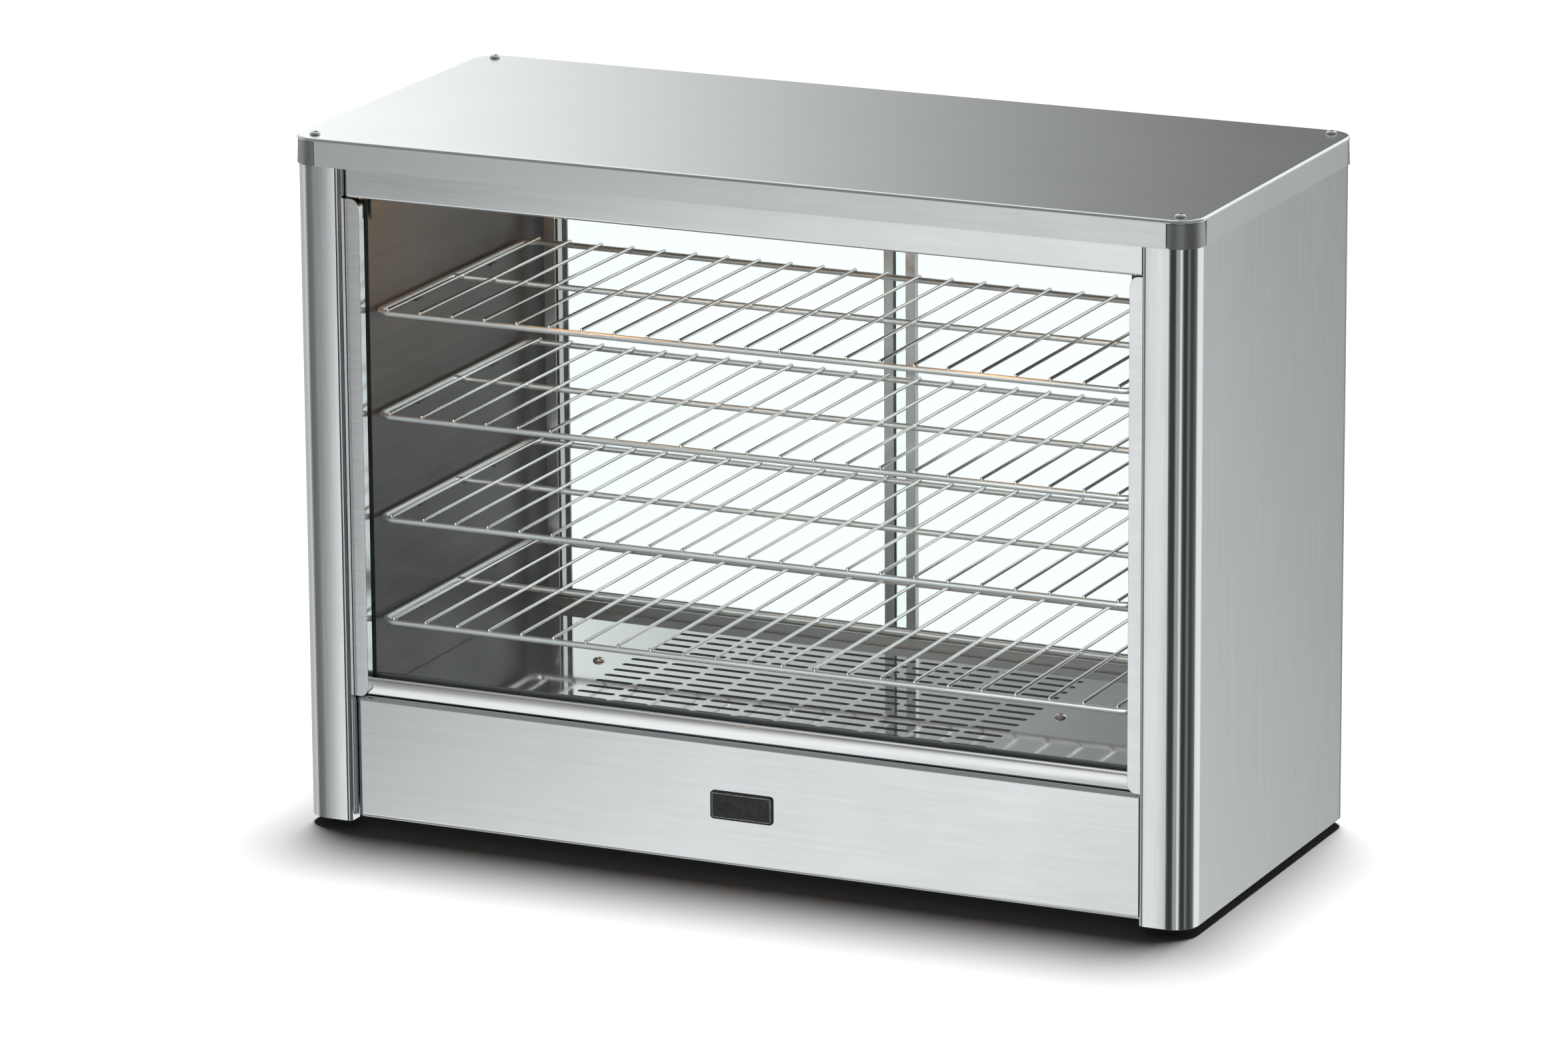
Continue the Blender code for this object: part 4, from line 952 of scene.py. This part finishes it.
def make_gland():
    """A six-sided nut under a ribbed dome with the cable's way through its middle."""
    low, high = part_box("cable_gland")
    centre = (low + high) / 2
    radius, face = (high.x - low.x) / 2, on_panel(0, 0).y
    tall, bore = high.y - face, GLAND_BORE

    def six_sides(angle, at):
        if not 0.0004 < at < 0.46 * tall:
            return 1
        part = (angle + math.pi / 6) % (math.pi / 3) - math.pi / 6
        return math.cos(math.pi / 6) / math.cos(part)

    def ribs(angle, at):
        return 1 - 0.05 * (0.5 + 0.5 * math.cos(18 * angle)) * (0.5 * tall < at < 0.8 * tall)

    def gland(angle, at):
        return six_sides(angle, at) * ribs(angle, at)

    profile = [(bore, tall), (0.44 * radius, tall), (0.52 * radius, 0.95 * tall),
               (0.62 * radius, 0.84 * tall),
               (0.80 * radius, 0.76 * tall), (0.84 * radius, 0.70 * tall), (0.84 * radius, 0.52 * tall),
               (0.80 * radius, 0.47 * tall), (0.99 * radius, 0.44 * tall), (radius, 0.40 * tall),
               (radius, 0.04 * tall), (0.98 * radius, 0.0003), (0.72 * radius, 0.0003),
               (0.72 * radius, low.y - face), (bore, low.y - face), (bore, tall)]
    spot = (centre.x, face, centre.z)
    nut = turned("cable_gland_skin", profile, spot, "black_plastic", "Y", 144, gland)
    settle(nut, nodes=["cable_gland"])


def make_foot(node):
    """A turned rubber foot with a grip groove and a recess for its screw."""
    low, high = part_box(node)
    centre = (low + high) / 2
    radius, tall = (high.x - low.x) / 2, high.z - low.z
    profile = [(0, tall), (0.97 * radius, tall), (radius, 0.93 * tall), (0.985 * radius, 0.60 * tall),
               (0.955 * radius, 0.56 * tall), (0.955 * radius, 0.50 * tall),
               (0.975 * radius, 0.46 * tall),
               (0.92 * radius, 0.16 * tall), (0.80 * radius, 0.02 * tall), (0.74 * radius, 0),
               (0.34 * radius, 0), (0.30 * radius, 0.10 * tall), (0.30 * radius, 0.45 * tall),
               (0, 0.45 * tall)]
    foot = turned(node + "_skin", profile, (centre.x, centre.y, low.z), "rubber")
    settle(foot, nodes=[node])


def make_panel_screws():
    """Screws that hold the rear panels, shared between the header and the control panel."""
    panel_low, panel_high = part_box("rear_control_panel")
    header_low, header_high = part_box("rear_header")
    radius, rise = PANEL_SCREW_RADIUS, PANEL_SCREW_RISE
    panel_x, header_x = PANEL_SCREW_X
    heights = (panel_low.z + PANEL_SCREW_INSET, panel_high.z - PANEL_SCREW_INSET)
    spots = [(x * panel_x, panel_high.y, z) for x in (-1, 1) for z in heights]
    middle_z = (header_low.z + header_high.z) / 2
    spots += [(x * header_x, header_high.y - 0.0002, middle_z) for x in (-1, 0, 1)]
    profile = [(0, rise), (0.45 * radius, 0.92 * rise), (0.80 * radius, 0.60 * rise),
               (0.98 * radius, 0.15 * rise),
               (radius, 0), (0.5 * radius, -0.002), (0, -0.002)]
    for index, spot in enumerate(spots):
        head = turned(f"panel_screw_{index}", profile, spot, "screw_steel", "Y", 32)
        turn = Matrix.Translation(spot) @ Matrix.Rotation(math.radians(25 * index), 4, "Y")
        half, long = PANEL_SCREW_CROSS
        for number, arm in enumerate((((-half, rise * 0.5, -long), (half, 2 * rise, long)),
                                      ((-long, rise * 0.5, -half), (long, 2 * rise, half)))):
            cut(head, blocks(f"panel_recess_{number}", [arm], None, turn))
        shade_round(head, 40)
        settle(head)


make_camera()
make_world()
make_stage()

for number in (1, 2, 3, 4):
    make_shelf(number)
for x, side in SIDES:
    for y, end in ENDS:
        make_corner_cap(x, side, y, end)
        make_screw(f"lid_screw_{end}_{side}")
        make_foot(f"foot_{end}_{side}")
    make_screw(f"deck_screw_{side}")
    make_lamp(side, x)
    skin(f"side_casing_{side}", 0.0005, "brushed_steel:casing")
    make_glass(f"door_glass_{side}")
skin("lid_top", 0.0006, "brushed_steel:lid")
make_glass("front_glass")
make_sill()
make_seal()
make_badge()
make_deck()
make_dial(make_knob())
make_switch()
make_pilot()
make_gland()
make_panel_screws()

PLAIN_SKINS = [
    "header_panel", "front_apron", "glass_strip_left", "glass_strip_right",
    "inner_wall_left", "inner_wall_right", "ceiling_panel", "lamp_trough", "base_pan", "heating_element",
    "element_bracket_left", "element_bracket_right", "terminal_block", "thermostat_body", "rear_header",
    "rear_control_panel", "door_track_top", "door_track_bottom", "door_meeting_edge_left",
    "door_meeting_edge_right", "door_pull_left", "door_pull_right",
]
for node in PLAIN_SKINS:
    skin(node)

lit = bpy.data.collections.new("lit_by_the_lamps")
wires = bpy.data.collections.new("lit_from_the_front")
for piece in list(bpy.context.scene.collection.objects):
    if piece.type in ("MESH", "CURVE") and piece.name != "floor":
        (wires if "_wires" in piece.name else lit).objects.link(piece)
make_wire_light(wires)
for _, side in SIDES:
    make_lamp_light(side, lit)

bpy.context.scene.view_settings.view_transform = "Standard"
